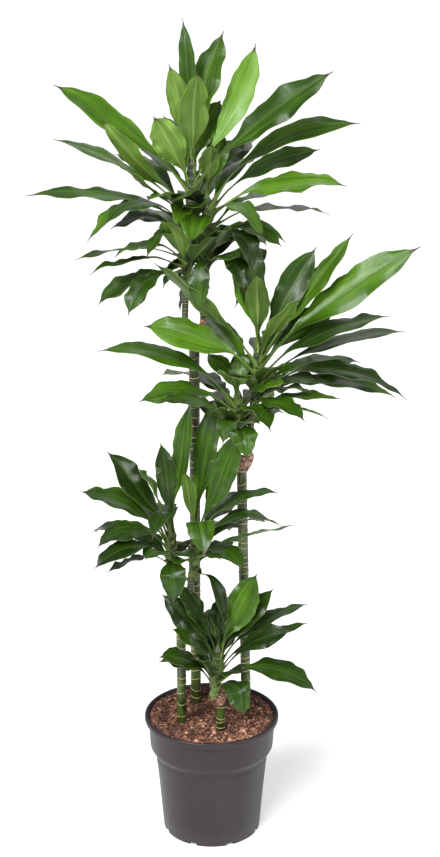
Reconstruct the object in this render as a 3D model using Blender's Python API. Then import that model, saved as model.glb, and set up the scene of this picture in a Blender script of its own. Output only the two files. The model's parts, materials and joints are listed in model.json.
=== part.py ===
"""A corn plant of four canes in a round grower's pot, in metres, +Z up.

The origin is the middle of the pot's underside. +X is to the right, -Y is the front.
Each cane is a cut length of old stem, and each shoot is the young stem that grew from its
side near the cut, with a crown of leaves. A leaf's foot clasps its stem.
"""

import itertools
import math
from collections import namedtuple

import bmesh
import bpy
from mathutils import Matrix, Vector
from mathutils.bvhtree import BVHTree

CM = 0.01
GAP = 0.0003  # between two pieces that touch
UP = Vector((0, 0, 1))

# The pot, an injection-moulded one of 27 cm.
RIM_RADIUS = 0.135
POT_HEIGHT = 0.250
BASE_RADIUS = 0.0985
SHOULDER_RADIUS = 0.111  # top of the tapered wall, under the collar
SHOULDER_TOP = 0.152
COLLAR_RADIUS = 0.123  # at its lower edge
COLLAR_BOTTOM = 0.180
WALL = 0.0025
FOOT_RISE = 0.003  # the underside between its foot ring and its middle pad is this high
PAD_RADIUS = 0.018
POT_SIDES = 40
DRAIN_HOLES = 8
DRAIN_SIZE = (0.020, 0.016, 0.014)

# The potting bark fills the pot almost to its rim, and is dished round the canes.
SOIL_TOP = 0.231
SOIL_EDGE = 0.244
SOIL_GAP = 0.0004

# Canes: where each meets the bark, where its cut top is, and its radius.
Cane = namedtuple("Cane", "foot top radius")
CANE_BOTTOM = 0.150
CANE_SIDES = 12
CALLUS = 0.0008  # how far the healed cut swells past the bark
CANES = {
    "tall": Cane((-0.033, 0.088), (-0.033, 0.090, 1.030), 0.0105),
    "right": Cane((0.071, 0.055), (0.059, 0.050, 0.775), 0.0100),
    "left": Cane((-0.060, 0.005), (-0.061, 0.000, 0.484), 0.0095),
    "short": Cane((0.018, -0.031), (0.019, -0.033, 0.306), 0.0090),
}

# Shoots: young stems beside the cut tops.
STEM_RADIUS = 0.0062
STEM_TIP_RADIUS = 0.0035
STEM_START = 0.020  # how far under the cut a shoot leaves its cane
STEM_SIDES = 12

# Leaves.
LEAF_STATIONS = (0.0, 0.22, 0.42, 0.65, 0.87)
BLADE_WIDTH = 1.15  # on every width below
STALK_END, WIDEST = 0.12, 0.55  # where the blade starts to widen, and where it is widest
HALF_THICKNESS = 0.0007
CREASES = ((0, 1), (2, 1), (2, 3), (0, 3))  # edge, midrib, edge, keel: the same above and below
NECK = 0.16  # width of the stalk-like foot, as a share of the blade's
FOLD = 0.15  # how far the edges rise above the midrib, as a share of half the width
ROLLED_BY = 0.35  # a leaf has all its roll from here on, as a share of its length
CLEARANCE = 0.0005  # kept between leaves of different pieces
TURN_STEP = 4  # degrees
LIFT_STEP = 1  # cm, at the tip
SLIDE_STEP = 0.3  # cm, at the foot

# Tips are in cm from the heart of the crown: right, back and up. The arch is how far the
# middle of the leaf stands off the straight line to the tip, and the roll, in degrees,
# turns its upper side to the front. Each crown's leaves run from the youngest down.
# A "leaf" is a piece of its own, and an "inner" one is grown together with its shoot.
Leaf = namedtuple("Leaf", "kind right back up arch width roll")
Shoot = namedtuple("Shoot", "cane bearing heart pitch leaves")

SHOOTS = {
    "tall_left": Shoot(
        "tall", 190, (-0.036, 0.085, 1.339), 0.66,
        (
            Leaf("inner", -1.5, 2, 26.5, 0.5, 2.2, 50),
            Leaf("inner", -4, -2, 18.5, 0.5, 3.8, -60),
            Leaf("inner", 6, 5, 24, 1.5, 4.4, 15),
            Leaf("inner", 1, -2.5, 17.5, 0.5, 4.4, 0),
            Leaf("inner", 5.5, 7, 11.5, 1, 4.6, 20),
            Leaf("inner", 12, 3, 22, -1.5, 4.2, 50),
            Leaf("leaf", 26, 2, 17.5, 1, 5.6, 50),
            Leaf("leaf", -26, 3, 14.5, 1, 4.8, 40),
            Leaf("inner", -7, -5, 9.5, 0.5, 4.8, -55),
            Leaf("inner", -11.5, 6, 3.5, 1, 3, 10),
            Leaf("inner", 12.5, 8, 4, 1, 3.6, 10),
            Leaf("inner", -6, 21, 7, 2, 4.6, 0),
            Leaf("inner", 12, 15.5, 3, 1.5, 4.4, 0),
            Leaf("inner", -16.5, -4, 9, -1, 3.2, -50),
            Leaf("leaf", -25, -5, 5.5, 1.5, 4, 15),
            Leaf("inner", -14, -8, 2.5, -1, 3.2, 0),
            Leaf("leaf", -31, -2, -5.5, 2, 4, 15),
            Leaf("inner", -17, 18, 0, 3, 4.6, 0),
            Leaf("leaf", -19.5, -3, -14, 5, 4, 10),
            Leaf("leaf", -16, -8, -10, 4.5, 5, 10),
            Leaf("inner", -3, -9, -11.5, 4, 3.4, 0),
            Leaf("inner", -8, -12, -4, 3.5, 4.6, 0),
            Leaf("leaf", -15.5, 2, -12.5, 3, 4, 15),
            Leaf("inner", 6, 24, -5, 4, 4.6, 0),
            Leaf("inner", -8.5, -7, -16.5, 3.5, 3, 0),
            Leaf("inner", -6, 6, -14, 3, 4.6, 10),
            Leaf("leaf", -22.5, 0, -18, 1, 3.6, -20),
            Leaf("inner", 2, -12, -9, 4, 4.6, 0),
            Leaf("leaf", -13.5, -6, -17, 2.5, 4.2, 10),
            Leaf("inner", -19.5, -3, -20, 1.5, 3.2, 0),
            Leaf("inner", -11, 21, -12, 4, 4.6, 0),
            Leaf("leaf", -18.5, 2, -27, 1.5, 4, 20),
            Leaf("leaf", -12, -6, -27.5, 3, 4.2, 10),
            Leaf("inner", -5, -8, -9, 1.5, 4.6, 0),
            Leaf("inner", 5, -9, -12, 1.5, 4.6, 0),
            Leaf("inner", 4, 10, -13, 1.5, 4.4, 0),
        ),
    ),
    "tall_right": Shoot(
        "tall", 10, (-0.007, 0.095, 1.269), 0.60,
        (
            Leaf("inner", 1, -2, 11, 0.5, 3, 0),
            Leaf("inner", 3, 3, 13, 0.5, 3.6, 20),
            Leaf("leaf", 28.5, 0, 14.5, 4.5, 4.2, 30),
            Leaf("leaf", 21.5, 6, 9, 2, 4.2, 20),
            Leaf("leaf", 26, -3, 3.5, 2.3, 5.2, 35),
            Leaf("inner", 9.5, 21, 6, 2.5, 4.6, 0),
            Leaf("inner", 10.5, -10, -5.5, 4, 4.4, 10),
            Leaf("inner", -6, -14, 2, 2.5, 4.6, 0),
            Leaf("leaf", 23.5, 4, -3, 2, 4.4, 5),
            Leaf("inner", -5, 24, -3, 3.5, 4.6, 0),
            Leaf("inner", 19, 18, -1, 3, 4.6, 0),
            Leaf("inner", -3, -13, -6, 4, 4.6, 0),
            Leaf("leaf", 7.5, -7, -12.5, 4, 4.8, 0),
            Leaf("inner", 15, 3, -8.5, 3, 4.2, 10),
            Leaf("leaf", 14, -4, -8, 3, 4, 15),
            Leaf("inner", 11, 3, -13, 3.5, 4.4, 5),
            Leaf("inner", -1.5, -6, -15.5, 3, 3.2, 0),
            Leaf("leaf", 2.5, -6, -20, 3.5, 3.4, 0),
            Leaf("leaf", -10.5, 6, -18.5, 1.5, 5, 15),
            Leaf("inner", 12, 19.5, -12, 4, 4.6, 0),
            Leaf("inner", 7, -7, -16, 3.5, 4.4, 0),
            Leaf("inner", -8.5, -3, -17, 2, 3, 20),
            Leaf("inner", -5.5, 3, -22, 1.5, 3, 20),
            Leaf("inner", 4, -9, -4, 1.5, 4.6, 0),
            Leaf("inner", -5, -8, -7, 1.5, 4.4, 0),
            Leaf("inner", 10, -6, -9, 2, 4.4, 0),
            Leaf("inner", 6, 9, -6, 1.5, 4.4, 0),
            Leaf("inner", -3, 10, -10, 1.5, 4.4, 0),
        ),
    ),
    "right_right": Shoot(
        "right", 30, (0.090, 0.055, 0.991), 0.55,
        (
            Leaf("inner", -3, 4, 26, 1, 5, 0),
            Leaf("inner", -5, 1, 17, 0.5, 4, 40),
            Leaf("inner", -0.5, -2.5, 15.5, 0.5, 3.8, 0),
            Leaf("inner", 11, 2, 19.5, 0.5, 4.8, 50),
            Leaf("inner", 17.5, 0, 22.5, -0.5, 4, 30),
            Leaf("inner", -19.5, 3, 18, 0.5, 4.2, -40),
            Leaf("leaf", 30, -3, 20.5, 1.5, 5.8, 50),
            Leaf("inner", 8, -10, 12.5, 1.5, 5, 0),
            Leaf("leaf", -21.5, -6, 6, 1.5, 5.4, 45),
            Leaf("inner", 15.5, 6, 7, 1.5, 4.6, 15),
            Leaf("leaf", 24.5, -4, 7.5, 2, 5, 30),
            Leaf("inner", 9.5, 22.5, 2, 3, 4.6, 0),
            Leaf("leaf", 28.5, 3, 3, 2.2, 4.4, 10),
            Leaf("inner", -11, 15.5, 3.5, 1.5, 4.6, 0),
            Leaf("leaf", 28.5, -4, -9, 4.5, 4.8, 25),
            Leaf("inner", 2.5, 25, -4, 4, 4.6, 0),
            Leaf("leaf", 17, 5, -5, 2.5, 4.6, 15),
            Leaf("leaf", 27, 2, -10, 3, 4.2, 15),
            Leaf("inner", 21.5, 17, -7, 3, 4.6, 0),
            Leaf("inner", 4, -9, -1, 1.5, 4.6, 0),
            Leaf("inner", -5, -7, -4, 1.5, 4.4, 0),
            Leaf("inner", 10, -6, -7, 2, 4.4, 0),
            Leaf("inner", -4, 9, -3, 1.5, 4.4, 0),
            Leaf("inner", 7, 8, -8, 2, 4.4, 0),
        ),
    ),
    "right_left": Shoot(
        "right", 195, (0.052, 0.045, 0.902), 0.50,
        (
            Leaf("inner", 1, 3, 9, 0.5, 3, 0),
            Leaf("inner", -6, 7, 6.5, 1, 3.6, 20),
            Leaf("inner", 10, -4, 8, 0.5, 3.4, 20),
            Leaf("inner", -2, -12, 7, 1.5, 4.6, 0),
            Leaf("leaf", -27, 2, 8.5, 4, 5, 28),
            Leaf("inner", 18, 4, 0.5, 2.5, 4.2, 5),
            Leaf("leaf", -19, -2, -1, 2.5, 4.8, 25),
            Leaf("inner", -15.5, 19.5, -1, 3, 4.6, 0),
            Leaf("leaf", 19.5, -4, 0.5, 1.5, 3.8, 5),
            Leaf("inner", -9.5, 15.5, 0.5, 2, 4.4, 0),
            Leaf("leaf", 12.5, -9, -3.5, 3, 4.4, 10),
            Leaf("inner", 6, -9.5, -4.5, 3.5, 4.8, 0),
            Leaf("inner", 17, -8, -1, 2, 3.2, 0),
            Leaf("inner", 7, 21, -8, 4, 4.6, 0),
            Leaf("leaf", -14.5, -8, 1, 2.5, 4, 15),
            Leaf("inner", 11.5, 6, -6, 1.5, 3.6, 0),
            Leaf("inner", -3, -8, -7.5, 3.5, 3.2, 0),
            Leaf("inner", -7, 22.5, -7, 4, 4.6, 0),
            Leaf("leaf", 1.5, -8, -10.5, 4, 4.4, 0),
            Leaf("inner", -5, -7, -1, 1.5, 4.4, 0),
            Leaf("inner", 4, -8, -3, 1.5, 4.4, 0),
            Leaf("inner", -9, 5, -3, 1.5, 4.4, 0),
            Leaf("inner", 3, 9, -5, 1.5, 4.4, 0),
        ),
    ),
    "left_left": Shoot(
        "left", 185, (-0.077, 0.000, 0.632), 0.50,
        (
            Leaf("inner", 3.5, 3.5, 26, 0.5, 4, 10),
            Leaf("inner", -2, 2, 18.5, 0.5, 3.4, 30),
            Leaf("inner", -6, -3, 15, 0.5, 4, 20),
            Leaf("leaf", -12.5, 2, 16.5, 1, 4.8, 45),
            Leaf("inner", -3.5, -11, 3, 5.5, 3.8, 0),
            Leaf("leaf", -18, 4, 7.5, 2.5, 4.6, 15),
            Leaf("inner", -12, 18, 3, 2.5, 4.4, 0),
            Leaf("leaf", -14.5, -4, -2, 3.5, 5, 28),
            Leaf("inner", -3.5, 22.5, -2, 3.5, 4.4, 0),
            Leaf("leaf", -14.5, -9, -3.5, 3, 4.6, 15),
            Leaf("inner", -17, 12.5, -4, 3, 4.4, 0),
            Leaf("inner", -12.5, -6, -5.5, 1.5, 3.2, -10),
            Leaf("leaf", 0.5, -8, -11, 4, 5, 0),
            Leaf("inner", -5, -7, 1, 1.5, 4.4, 0),
            Leaf("inner", 4, -7, -2, 1.5, 4.2, 0),
            Leaf("inner", -8, 5, -1, 1.5, 4.2, 0),
            Leaf("inner", 2, 8, -4, 1.5, 4.2, 0),
        ),
    ),
    "left_right": Shoot(
        "left", 5, (-0.032, 0.000, 0.622), 0.50,
        (
            Leaf("inner", 4, 5, 26, 0.5, 5, 10),
            Leaf("inner", -2, -2, 15, 0.5, 2.8, 0),
            Leaf("leaf", 8.5, 1.5, 22, 0.5, 5.2, 60),
            Leaf("inner", 2, -11, 0.5, 5.5, 4.6, 0),
            Leaf("leaf", 16.5, 2, 9, 4, 4, 5),
            Leaf("inner", 9.5, 19.5, 4, 2.5, 4.4, 0),
            Leaf("leaf", 17, -2, 1.5, 4.2, 4.4, 12),
            Leaf("inner", 19.5, -5, 5, 0.3, 3.6, 0),
            Leaf("inner", 15.5, 14, -2, 3, 4.4, 0),
            Leaf("leaf", 9.5, -7, -3.5, 3, 4.4, 10),
            Leaf("inner", 1, 22.5, -6, 4, 4.4, 0),
            Leaf("inner", 8.5, 8, -5.5, 1.5, 3.8, 0),
            Leaf("leaf", 5.5, -6, -15, 3, 3.6, 0),
            Leaf("inner", 5, -7, 1, 1.5, 4.4, 0),
            Leaf("inner", -3, -8, -2, 1.5, 4.2, 0),
            Leaf("inner", 8, 5, -2, 1.5, 4.2, 0),
            Leaf("inner", 0.5, 8, -4, 1.5, 4.2, 0),
        ),
    ),
    "short": Shoot(
        "short", 200, (0.013, -0.030, 0.401), 0.45,
        (
            Leaf("inner", 2, 1, 9, 0.3, 3, 0),
            Leaf("inner", -1.5, -2, 8, 0.3, 3, 0),
            Leaf("inner", 1, 6, 9, 0.5, 4.2, 0),
            Leaf("leaf", 7.5, 2, 17.5, 0.3, 5.4, 60),
            Leaf("inner", -7.5, 3, 10.5, 0.5, 3.8, 20),
            Leaf("inner", 11, 3, 13, 0.5, 4, 30),
            Leaf("leaf", -11, 0, 10, 1, 5, 50),
            Leaf("inner", 18, 5, 8, 2, 4, 10),
            Leaf("inner", 8.5, 15.5, 4, 2, 4.2, 0),
            Leaf("leaf", 14, -6, 7, 1.2, 4.8, 25),
            Leaf("inner", -9, -4, 6.5, 0.5, 3.8, 10),
            Leaf("inner", 17.5, -2, 7, 1, 3.4, 0),
            Leaf("inner", -9.5, 7, 1.5, 1.5, 3.8, 0),
            Leaf("inner", -5, 18, 1, 2.5, 4.2, 0),
            Leaf("leaf", 19.5, -5, -6.5, 3.5, 4.6, 22),
            Leaf("inner", -11.5, -5, 1, 1.5, 4.4, 20),
            Leaf("inner", -11, 4, -2.5, 1.5, 3.8, 5),
            Leaf("inner", 2.5, 19.5, -4, 3, 4.2, 0),
            Leaf("leaf", 5, -8, -10.5, 4, 4.8, 0),
            Leaf("inner", -5, -6, 1, 1.5, 4.2, 0),
            Leaf("inner", 5, -8, -1, 1.5, 4.2, 0),
            Leaf("inner", -3, 8, 0.5, 1.5, 4.2, 0),
        ),
    ),
}
FIRST_FOOT = 0.01  # the youngest leaf's foot, above the heart


def clear_scene():
    for thing in list(bpy.data.objects):
        bpy.data.objects.remove(thing)


def material(name, colour, roughness, metallic=0.0):
    made = bpy.data.materials.new(name)
    made.use_nodes = True
    shader = made.node_tree.nodes["Principled BSDF"]
    shader.inputs["Base Color"].default_value = (*colour, 1)
    shader.inputs["Roughness"].default_value = roughness
    shader.inputs["Metallic"].default_value = metallic
    return made


def add_object(name, bm, look, smooth_angle=40):
    """Makes a scene object from a bmesh, with its faces outwards."""
    bmesh.ops.recalc_face_normals(bm, faces=bm.faces)
    if bm.calc_volume(signed=True) < 0:
        bmesh.ops.reverse_faces(bm, faces=bm.faces)
    mesh = bpy.data.meshes.new(name)
    bm.to_mesh(mesh)
    bm.free()
    mesh.shade_smooth()
    mesh.set_sharp_from_angle(angle=math.radians(smooth_angle))
    mesh.materials.append(look)
    thing = bpy.data.objects.new(name, mesh)
    bpy.context.scene.collection.objects.link(thing)
    return thing


def helper(thing):
    """Keeps an object that only shapes others out of the model."""
    thing.hide_render = True
    thing.display_type = "WIRE"
    return thing


def combine(thing, other, operation):
    step = thing.modifiers.new(operation.lower(), "BOOLEAN")
    step.operation = operation
    step.object = helper(other)


def loft(rings, tip=None, creases=()):
    """A closed skin over rings of points, run to a point where a tip is given.

    Each crease joins a point of one ring to a point of the next, by their places in the ring.
    """
    bm = bmesh.new()
    circle = bmesh.ops.create_circle(bm, cap_ends=True, segments=len(rings[0]), radius=1)
    ring = circle["verts"]
    for vert, point in zip(ring, rings[0]):
        vert.co = point
    start = cap = ring[0].link_faces[0]
    for points in rings[1:]:
        known = set(bm.verts)
        made = bmesh.ops.extrude_face_region(bm, geom=[cap])["geom"]
        if cap is not start:
            bm.faces.remove(cap)
        cap = next(item for item in made if isinstance(item, bmesh.types.BMFace))
        last = ring
        ends = [[edge.other_vert(vert) for edge in vert.link_edges] for vert in last]
        ring = [next(vert for vert in near if vert not in known) for near in ends]
        for vert, point in zip(ring, points):
            vert.co = point
        for here, there in creases:
            shared = set(last[here].link_faces) & set(ring[there].link_faces)
            bmesh.utils.face_split(shared.pop(), last[here], ring[there])
    if tip is not None:
        bmesh.ops.pointmerge(bm, verts=ring, merge_co=tip)
    return bm


def lathe(outline, sides):
    """Spins an outline of (radius, height) points about the Z axis."""
    bm = bmesh.new()
    verts = [bm.verts.new((radius, 0, height)) for radius, height in outline]
    edges = [bm.edges.new(pair) for pair in zip(verts, verts[1:])]
    bmesh.ops.spin(
        bm, geom=verts + edges, cent=(0, 0, 0), axis=(0, 0, 1), angle=math.tau,
        steps=sides, use_merge=True,
    )
    bmesh.ops.remove_doubles(bm, verts=bm.verts, dist=0.00001)
    return bm


# The pot and what fills it.
def pot_outside():
    lip = RIM_RADIUS
    top = POT_HEIGHT
    return [
        (0, 0),
        (PAD_RADIUS, 0),
        (PAD_RADIUS + 0.003, FOOT_RISE),
        (BASE_RADIUS - 0.0285, FOOT_RISE),
        (BASE_RADIUS - 0.0245, 0),
        (BASE_RADIUS - 0.0030, 0),
        (BASE_RADIUS, 0.003),
        (SHOULDER_RADIUS, SHOULDER_TOP),
        (SHOULDER_RADIUS + 0.0015, SHOULDER_TOP + 0.006),
        (COLLAR_RADIUS - 0.0055, COLLAR_BOTTOM - 0.015),
        (COLLAR_RADIUS - 0.0015, COLLAR_BOTTOM - 0.008),
        (COLLAR_RADIUS, COLLAR_BOTTOM),
        (lip - 0.0075, top - 0.0100),
        (lip - 0.0015, top - 0.0095),
        (lip, top - 0.0075),
        (lip, top - 0.0030),
        (lip - 0.0015, top - 0.0006),
        (lip - 0.0040, top),
    ]


def pot_inside(inset=0.0):
    """The pot's inner wall from the rim down, or an outline this much inside it."""
    wall = WALL + inset
    return [
        (RIM_RADIUS - 0.0065 - inset, POT_HEIGHT - 0.0015),
        (RIM_RADIUS - 0.0080 - inset, POT_HEIGHT - 0.0050),
        (RIM_RADIUS - 0.0075 - wall, POT_HEIGHT - 0.0110),
        (COLLAR_RADIUS - wall, COLLAR_BOTTOM + 0.001),
        (COLLAR_RADIUS - 0.0015 - wall, COLLAR_BOTTOM - 0.0065),
        (COLLAR_RADIUS - 0.0055 - wall, COLLAR_BOTTOM - 0.0130),
        (SHOULDER_RADIUS + 0.0015 - wall, SHOULDER_TOP + 0.0075),
        (SHOULDER_RADIUS - wall, SHOULDER_TOP),
        (BASE_RADIUS - wall + 0.0005, 0.009 + inset),
        (BASE_RADIUS - wall - 0.0025, FOOT_RISE + WALL + inset),
        (0, FOOT_RISE + WALL + inset),
    ]


def make_pot():
    pot = add_object(
        "pot", lathe(pot_outside() + pot_inside(), POT_SIDES),
        material("dark grey plastic", (0.068, 0.061, 0.068), 0.45),
    )
    bm = bmesh.new()
    for index in range(DRAIN_HOLES):
        turn = Matrix.Rotation(math.tau * (index + 0.5) / DRAIN_HOLES, 4, "Z")
        out = Matrix.Translation((BASE_RADIUS - 0.002, 0, 0))
        bmesh.ops.create_cube(bm, size=1, matrix=turn @ out @ Matrix.Diagonal((*DRAIN_SIZE, 1)))
    combine(pot, add_object("drain_cutter", bm, pot.data.materials[0]), "DIFFERENCE")


def make_soil():
    walls = [point for point in pot_inside(SOIL_GAP) if point[1] < SOIL_EDGE]
    surface = [(0, SOIL_TOP), (0.085, SOIL_TOP + 0.0005), (0.105, 0.236), (0.118, SOIL_EDGE - 0.002)]
    edge = RIM_RADIUS - 0.0085 - SOIL_GAP
    outline = [*surface, (edge, SOIL_EDGE), *walls]
    soil = add_object(
        "potting_bark", lathe(outline, POT_SIDES),
        material("bark and coir", (0.115, 0.045, 0.024), 0.95),
    )
    for name in CANES:
        cutter = tube(*cane_line(name, GAP, flat_top=SOIL_TOP + 0.02), CANE_SIDES)
        combine(soil, add_object(f"{name}_hole", cutter, soil.data.materials[0]), "DIFFERENCE")


# Canes and shoots.
def tube(centres, radii, sides):
    """A round tube with closed ends, along a line that stays near upright."""
    rings = []
    for centre, radius in zip(centres, radii):
        angles = [math.tau * index / sides for index in range(sides)]
        rings.append([
            centre + Vector((math.cos(angle), math.sin(angle), 0)) * radius for angle in angles
        ])
    return loft(rings)


def cane_centre(name, height):
    cane = CANES[name]
    foot = Vector((*cane.foot, SOIL_TOP - 0.006))
    return foot.lerp(Vector(cane.top), (height - foot.z) / (cane.top[2] - foot.z))


def cane_line(name, grown=0.0, flat_top=None):
    """Centres and radii of a cane, or of the hole for it where a flat top is given."""
    cane = CANES[name]
    radius = cane.radius + grown
    if flat_top:
        heights = [CANE_BOTTOM - grown, flat_top]
        radii = [radius, radius]
    else:
        top = cane.top[2]
        heights = [CANE_BOTTOM, top - 0.012, top - 0.008, top - 0.003, top]
        swollen = radius + CALLUS
        radii = [radius, radius, swollen, swollen, radius * 0.7]
    return [cane_centre(name, height) for height in heights], radii


def make_canes():
    look = material("green cane bark", (0.045, 0.055, 0.022), 0.55)
    for name in CANES:
        add_object(f"cane_{name}", tube(*cane_line(name), CANE_SIDES), look)


def stem_centre(shoot, height):
    """A stem runs up beside its cane, and above the cut it eases over to the heart."""
    cane = CANES[shoot.cane]
    bearing = math.radians(shoot.bearing)
    beside = cane.radius + CALLUS + GAP + STEM_RADIUS
    side = Vector((math.cos(bearing), math.sin(bearing), 0)) * beside
    start = cane_centre(shoot.cane, min(height, cane.top[2])) + side
    start.z = height
    heart = Vector(shoot.heart)
    share = min(max((height - cane.top[2]) / (heart.z - cane.top[2]), 0), 1)
    ease = share * share * (3 - 2 * share)
    return start.lerp(Vector((heart.x, heart.y, height)), ease)


def stem_solid(shoot):
    bottom = CANES[shoot.cane].top[2] - STEM_START
    heart = shoot.heart[2]
    heights = [bottom, bottom + 0.008]
    heights += [bottom + (heart - bottom) * share for share in (0.35, 0.6, 0.8, 1)]
    heights += [heart + 0.015]
    radii = [STEM_RADIUS * 0.8] + [STEM_RADIUS] * 5 + [STEM_TIP_RADIUS]
    return tube([stem_centre(shoot, height) for height in heights], radii, STEM_SIDES)


# Leaves.
def leaf_share(along):
    """The blade's width at this share of its length, as a share of its full width."""
    rise = min(max((along - STALK_END) / (WIDEST - STALK_END), 0), 1)
    fall = max((along - WIDEST) / (1 - WIDEST), 0)
    blade = rise * rise * (3 - 2 * rise) * math.cos(fall * math.pi / 2) ** 0.8
    return max(NECK * (1 - along), blade)


def leaf_line(shoot, index, turn=0, lift=0, slide=0):
    """Foot, bend and tip of the leaf's centre line, and the way it faces."""
    leaf = shoot.leaves[index]
    heart = Vector(shoot.heart)
    foot = stem_centre(shoot, heart.z + FIRST_FOOT + (slide - index * shoot.pitch) * CM)
    reach = Vector((leaf.right, leaf.back, leaf.up)) * CM + heart - foot
    reach = Matrix.Rotation(math.radians(turn), 3, "Z") @ reach + UP * lift * CM
    out = Vector((reach.x, reach.y, 0)).normalized()
    across = UP.cross(out)
    above = reach.cross(across).normalized()
    bend = reach / 2 + above * 2 * leaf.arch * CM
    if leaf.kind == "leaf":
        steep = bend.normalized().z
        foot = foot + out * (STEM_RADIUS + GAP + HALF_THICKNESS * max(steep, 0.2))
        reach = reach - out * STEM_RADIUS
    return foot, foot + bend, foot + reach, out


def leaf_solid(shoot, index, turn=0, lift=0, slide=0, grown=0.0):
    """A leaf as a thin closed solid, folded a little along its midrib."""
    leaf = shoot.leaves[index]
    foot, bend, tip, out = leaf_line(shoot, index, turn, lift, slide)
    across = UP.cross(out)
    roll = math.radians(leaf.roll) * (1 if leaf.right > 0 else -1)
    rings = []
    for along in LEAF_STATIONS:
        centre = foot.lerp(bend, along).lerp(bend.lerp(tip, along), along)
        forward = (bend - foot).lerp(tip - bend, along).normalized()
        rolled = Matrix.Rotation(roll * min(along / ROLLED_BY, 1), 3, forward)
        side = rolled @ across
        above = forward.cross(side)
        half = leaf.width / 2 * CM * BLADE_WIDTH * leaf_share(along) + grown
        thick = HALF_THICKNESS + grown
        rings.append([
            centre + side * half + above * half * FOLD,
            centre + above * thick,
            centre - side * half + above * half * FOLD,
            centre - above * thick,
        ])
    return loft(rings, tip + (tip - bend).normalized() * grown, CREASES)


def clear_of(tree, others):
    return not any(tree.overlap(other) for other in others)


def settled_leaves():
    """Each leaf's turn, lift and slide from where it is drawn, so that no two pieces meet.

    Leaves at the front are laid first, and each later one is eased aside until it is clear.
    """
    stems = {name: BVHTree.FromBMesh(stem_solid(shoot)) for name, shoot in SHOOTS.items()}
    canes = [BVHTree.FromBMesh(tube(*cane_line(name), CANE_SIDES)) for name in CANES]
    order = [
        (leaf.back, name, index)
        for name, shoot in SHOOTS.items()
        for index, leaf in enumerate(shoot.leaves)
    ]
    steps = list(itertools.product(range(-10, 11), range(-8, 9), range(-3, 4)))
    steps.sort(key=lambda step: (sum(map(abs, step)), step))
    laid = []
    settled = {}
    for _, name, index in sorted(order):
        shoot = SHOOTS[name]
        inner = shoot.leaves[index].kind == "inner"
        solid = canes + [tree for other, tree in stems.items() if other != name]
        solid += [tree for other, grown, tree in laid if not (inner and grown and other == name)]
        own = [] if inner else [stems[name]]
        for turn, lift, slide in steps:
            ease = (turn * TURN_STEP, lift * LIFT_STEP, slide * SLIDE_STEP)
            spread = BVHTree.FromBMesh(leaf_solid(shoot, index, *ease, CLEARANCE))
            tree = BVHTree.FromBMesh(leaf_solid(shoot, index, *ease))
            if clear_of(spread, solid) and clear_of(tree, own):
                break
        else:
            print("no clear place:", name, index)
        laid.append((name, inner, tree))
        settled[name, index] = ease
    return settled


def make_shoots():
    stem_look = material("young stem", (0.085, 0.150, 0.030), 0.45)
    leaf_look = material("leaf", (0.045, 0.140, 0.018), 0.35)
    settled = settled_leaves()
    for name, shoot in SHOOTS.items():
        stem = add_object(f"shoot_{name}", stem_solid(shoot), stem_look)
        own = 0
        for index, leaf in enumerate(shoot.leaves):
            solid = leaf_solid(shoot, index, *settled[name, index])
            if leaf.kind == "leaf":
                own += 1
                add_object(f"leaf_{name}_{own:02d}", solid, leaf_look)
            else:
                combine(stem, add_object(f"inner_{name}_{index}", solid, leaf_look), "UNION")


clear_scene()
make_pot()
make_soil()
make_canes()
make_shoots()
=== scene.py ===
# %% [markdown]
# # A potted corn plant, finished over its CAD frame
#
# The CAD part gives a plain solid for every piece: pot, bark, four canes, seven young shoots
# and their leaves. This lesson makes the pieces that are seen. Each stands where the CAD has
# it, because the same few measures and drawing rules are used. Lengths are in metres, +Z is
# up, +X is right, -Y is the front, and the origin is the middle of the pot's underside.

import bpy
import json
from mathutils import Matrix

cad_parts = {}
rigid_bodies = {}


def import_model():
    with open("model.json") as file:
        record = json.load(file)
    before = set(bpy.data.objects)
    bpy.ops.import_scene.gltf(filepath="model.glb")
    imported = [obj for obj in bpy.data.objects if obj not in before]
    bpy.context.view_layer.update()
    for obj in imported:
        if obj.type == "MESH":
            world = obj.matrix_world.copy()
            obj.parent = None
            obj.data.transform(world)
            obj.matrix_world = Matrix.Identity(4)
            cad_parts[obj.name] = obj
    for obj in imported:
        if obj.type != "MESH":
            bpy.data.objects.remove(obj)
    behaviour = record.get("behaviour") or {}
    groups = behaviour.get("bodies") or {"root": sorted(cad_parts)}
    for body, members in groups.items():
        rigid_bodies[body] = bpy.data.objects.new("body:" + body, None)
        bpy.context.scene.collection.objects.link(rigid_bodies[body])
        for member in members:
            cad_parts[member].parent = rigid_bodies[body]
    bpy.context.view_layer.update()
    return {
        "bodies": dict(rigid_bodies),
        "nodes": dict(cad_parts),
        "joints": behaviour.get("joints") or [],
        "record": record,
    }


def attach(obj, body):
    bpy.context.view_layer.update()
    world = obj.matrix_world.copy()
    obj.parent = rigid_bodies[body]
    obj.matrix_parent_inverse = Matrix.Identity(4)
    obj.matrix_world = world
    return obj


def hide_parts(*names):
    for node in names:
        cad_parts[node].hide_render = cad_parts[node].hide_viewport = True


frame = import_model()
print("CAD nodes:", len(frame["nodes"]))

# %% Blender's modules
import itertools
import json
import math
import random
from collections import namedtuple
from functools import partial

import bmesh
import bpy
from mathutils import Matrix, Vector, noise
from mathutils.bvhtree import BVHTree

CM = 0.01
MM = 0.001
UP = Vector((0, 0, 1))

# %% [markdown]
# ## Camera
# The camera comes first, so that every later step can be looked at. It stands far off with a
# long lens, a little above the plant's top, and looks down, so the bark in the pot shows.

# %% Camera
CAMERA_PLACE = (0.017, -2.8, 1.7)
CAMERA_DOWN = 16.9  # degrees under the horizon
CAMERA_LENS = 64.4  # mm, for a 36 mm sensor along the picture's long side

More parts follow.
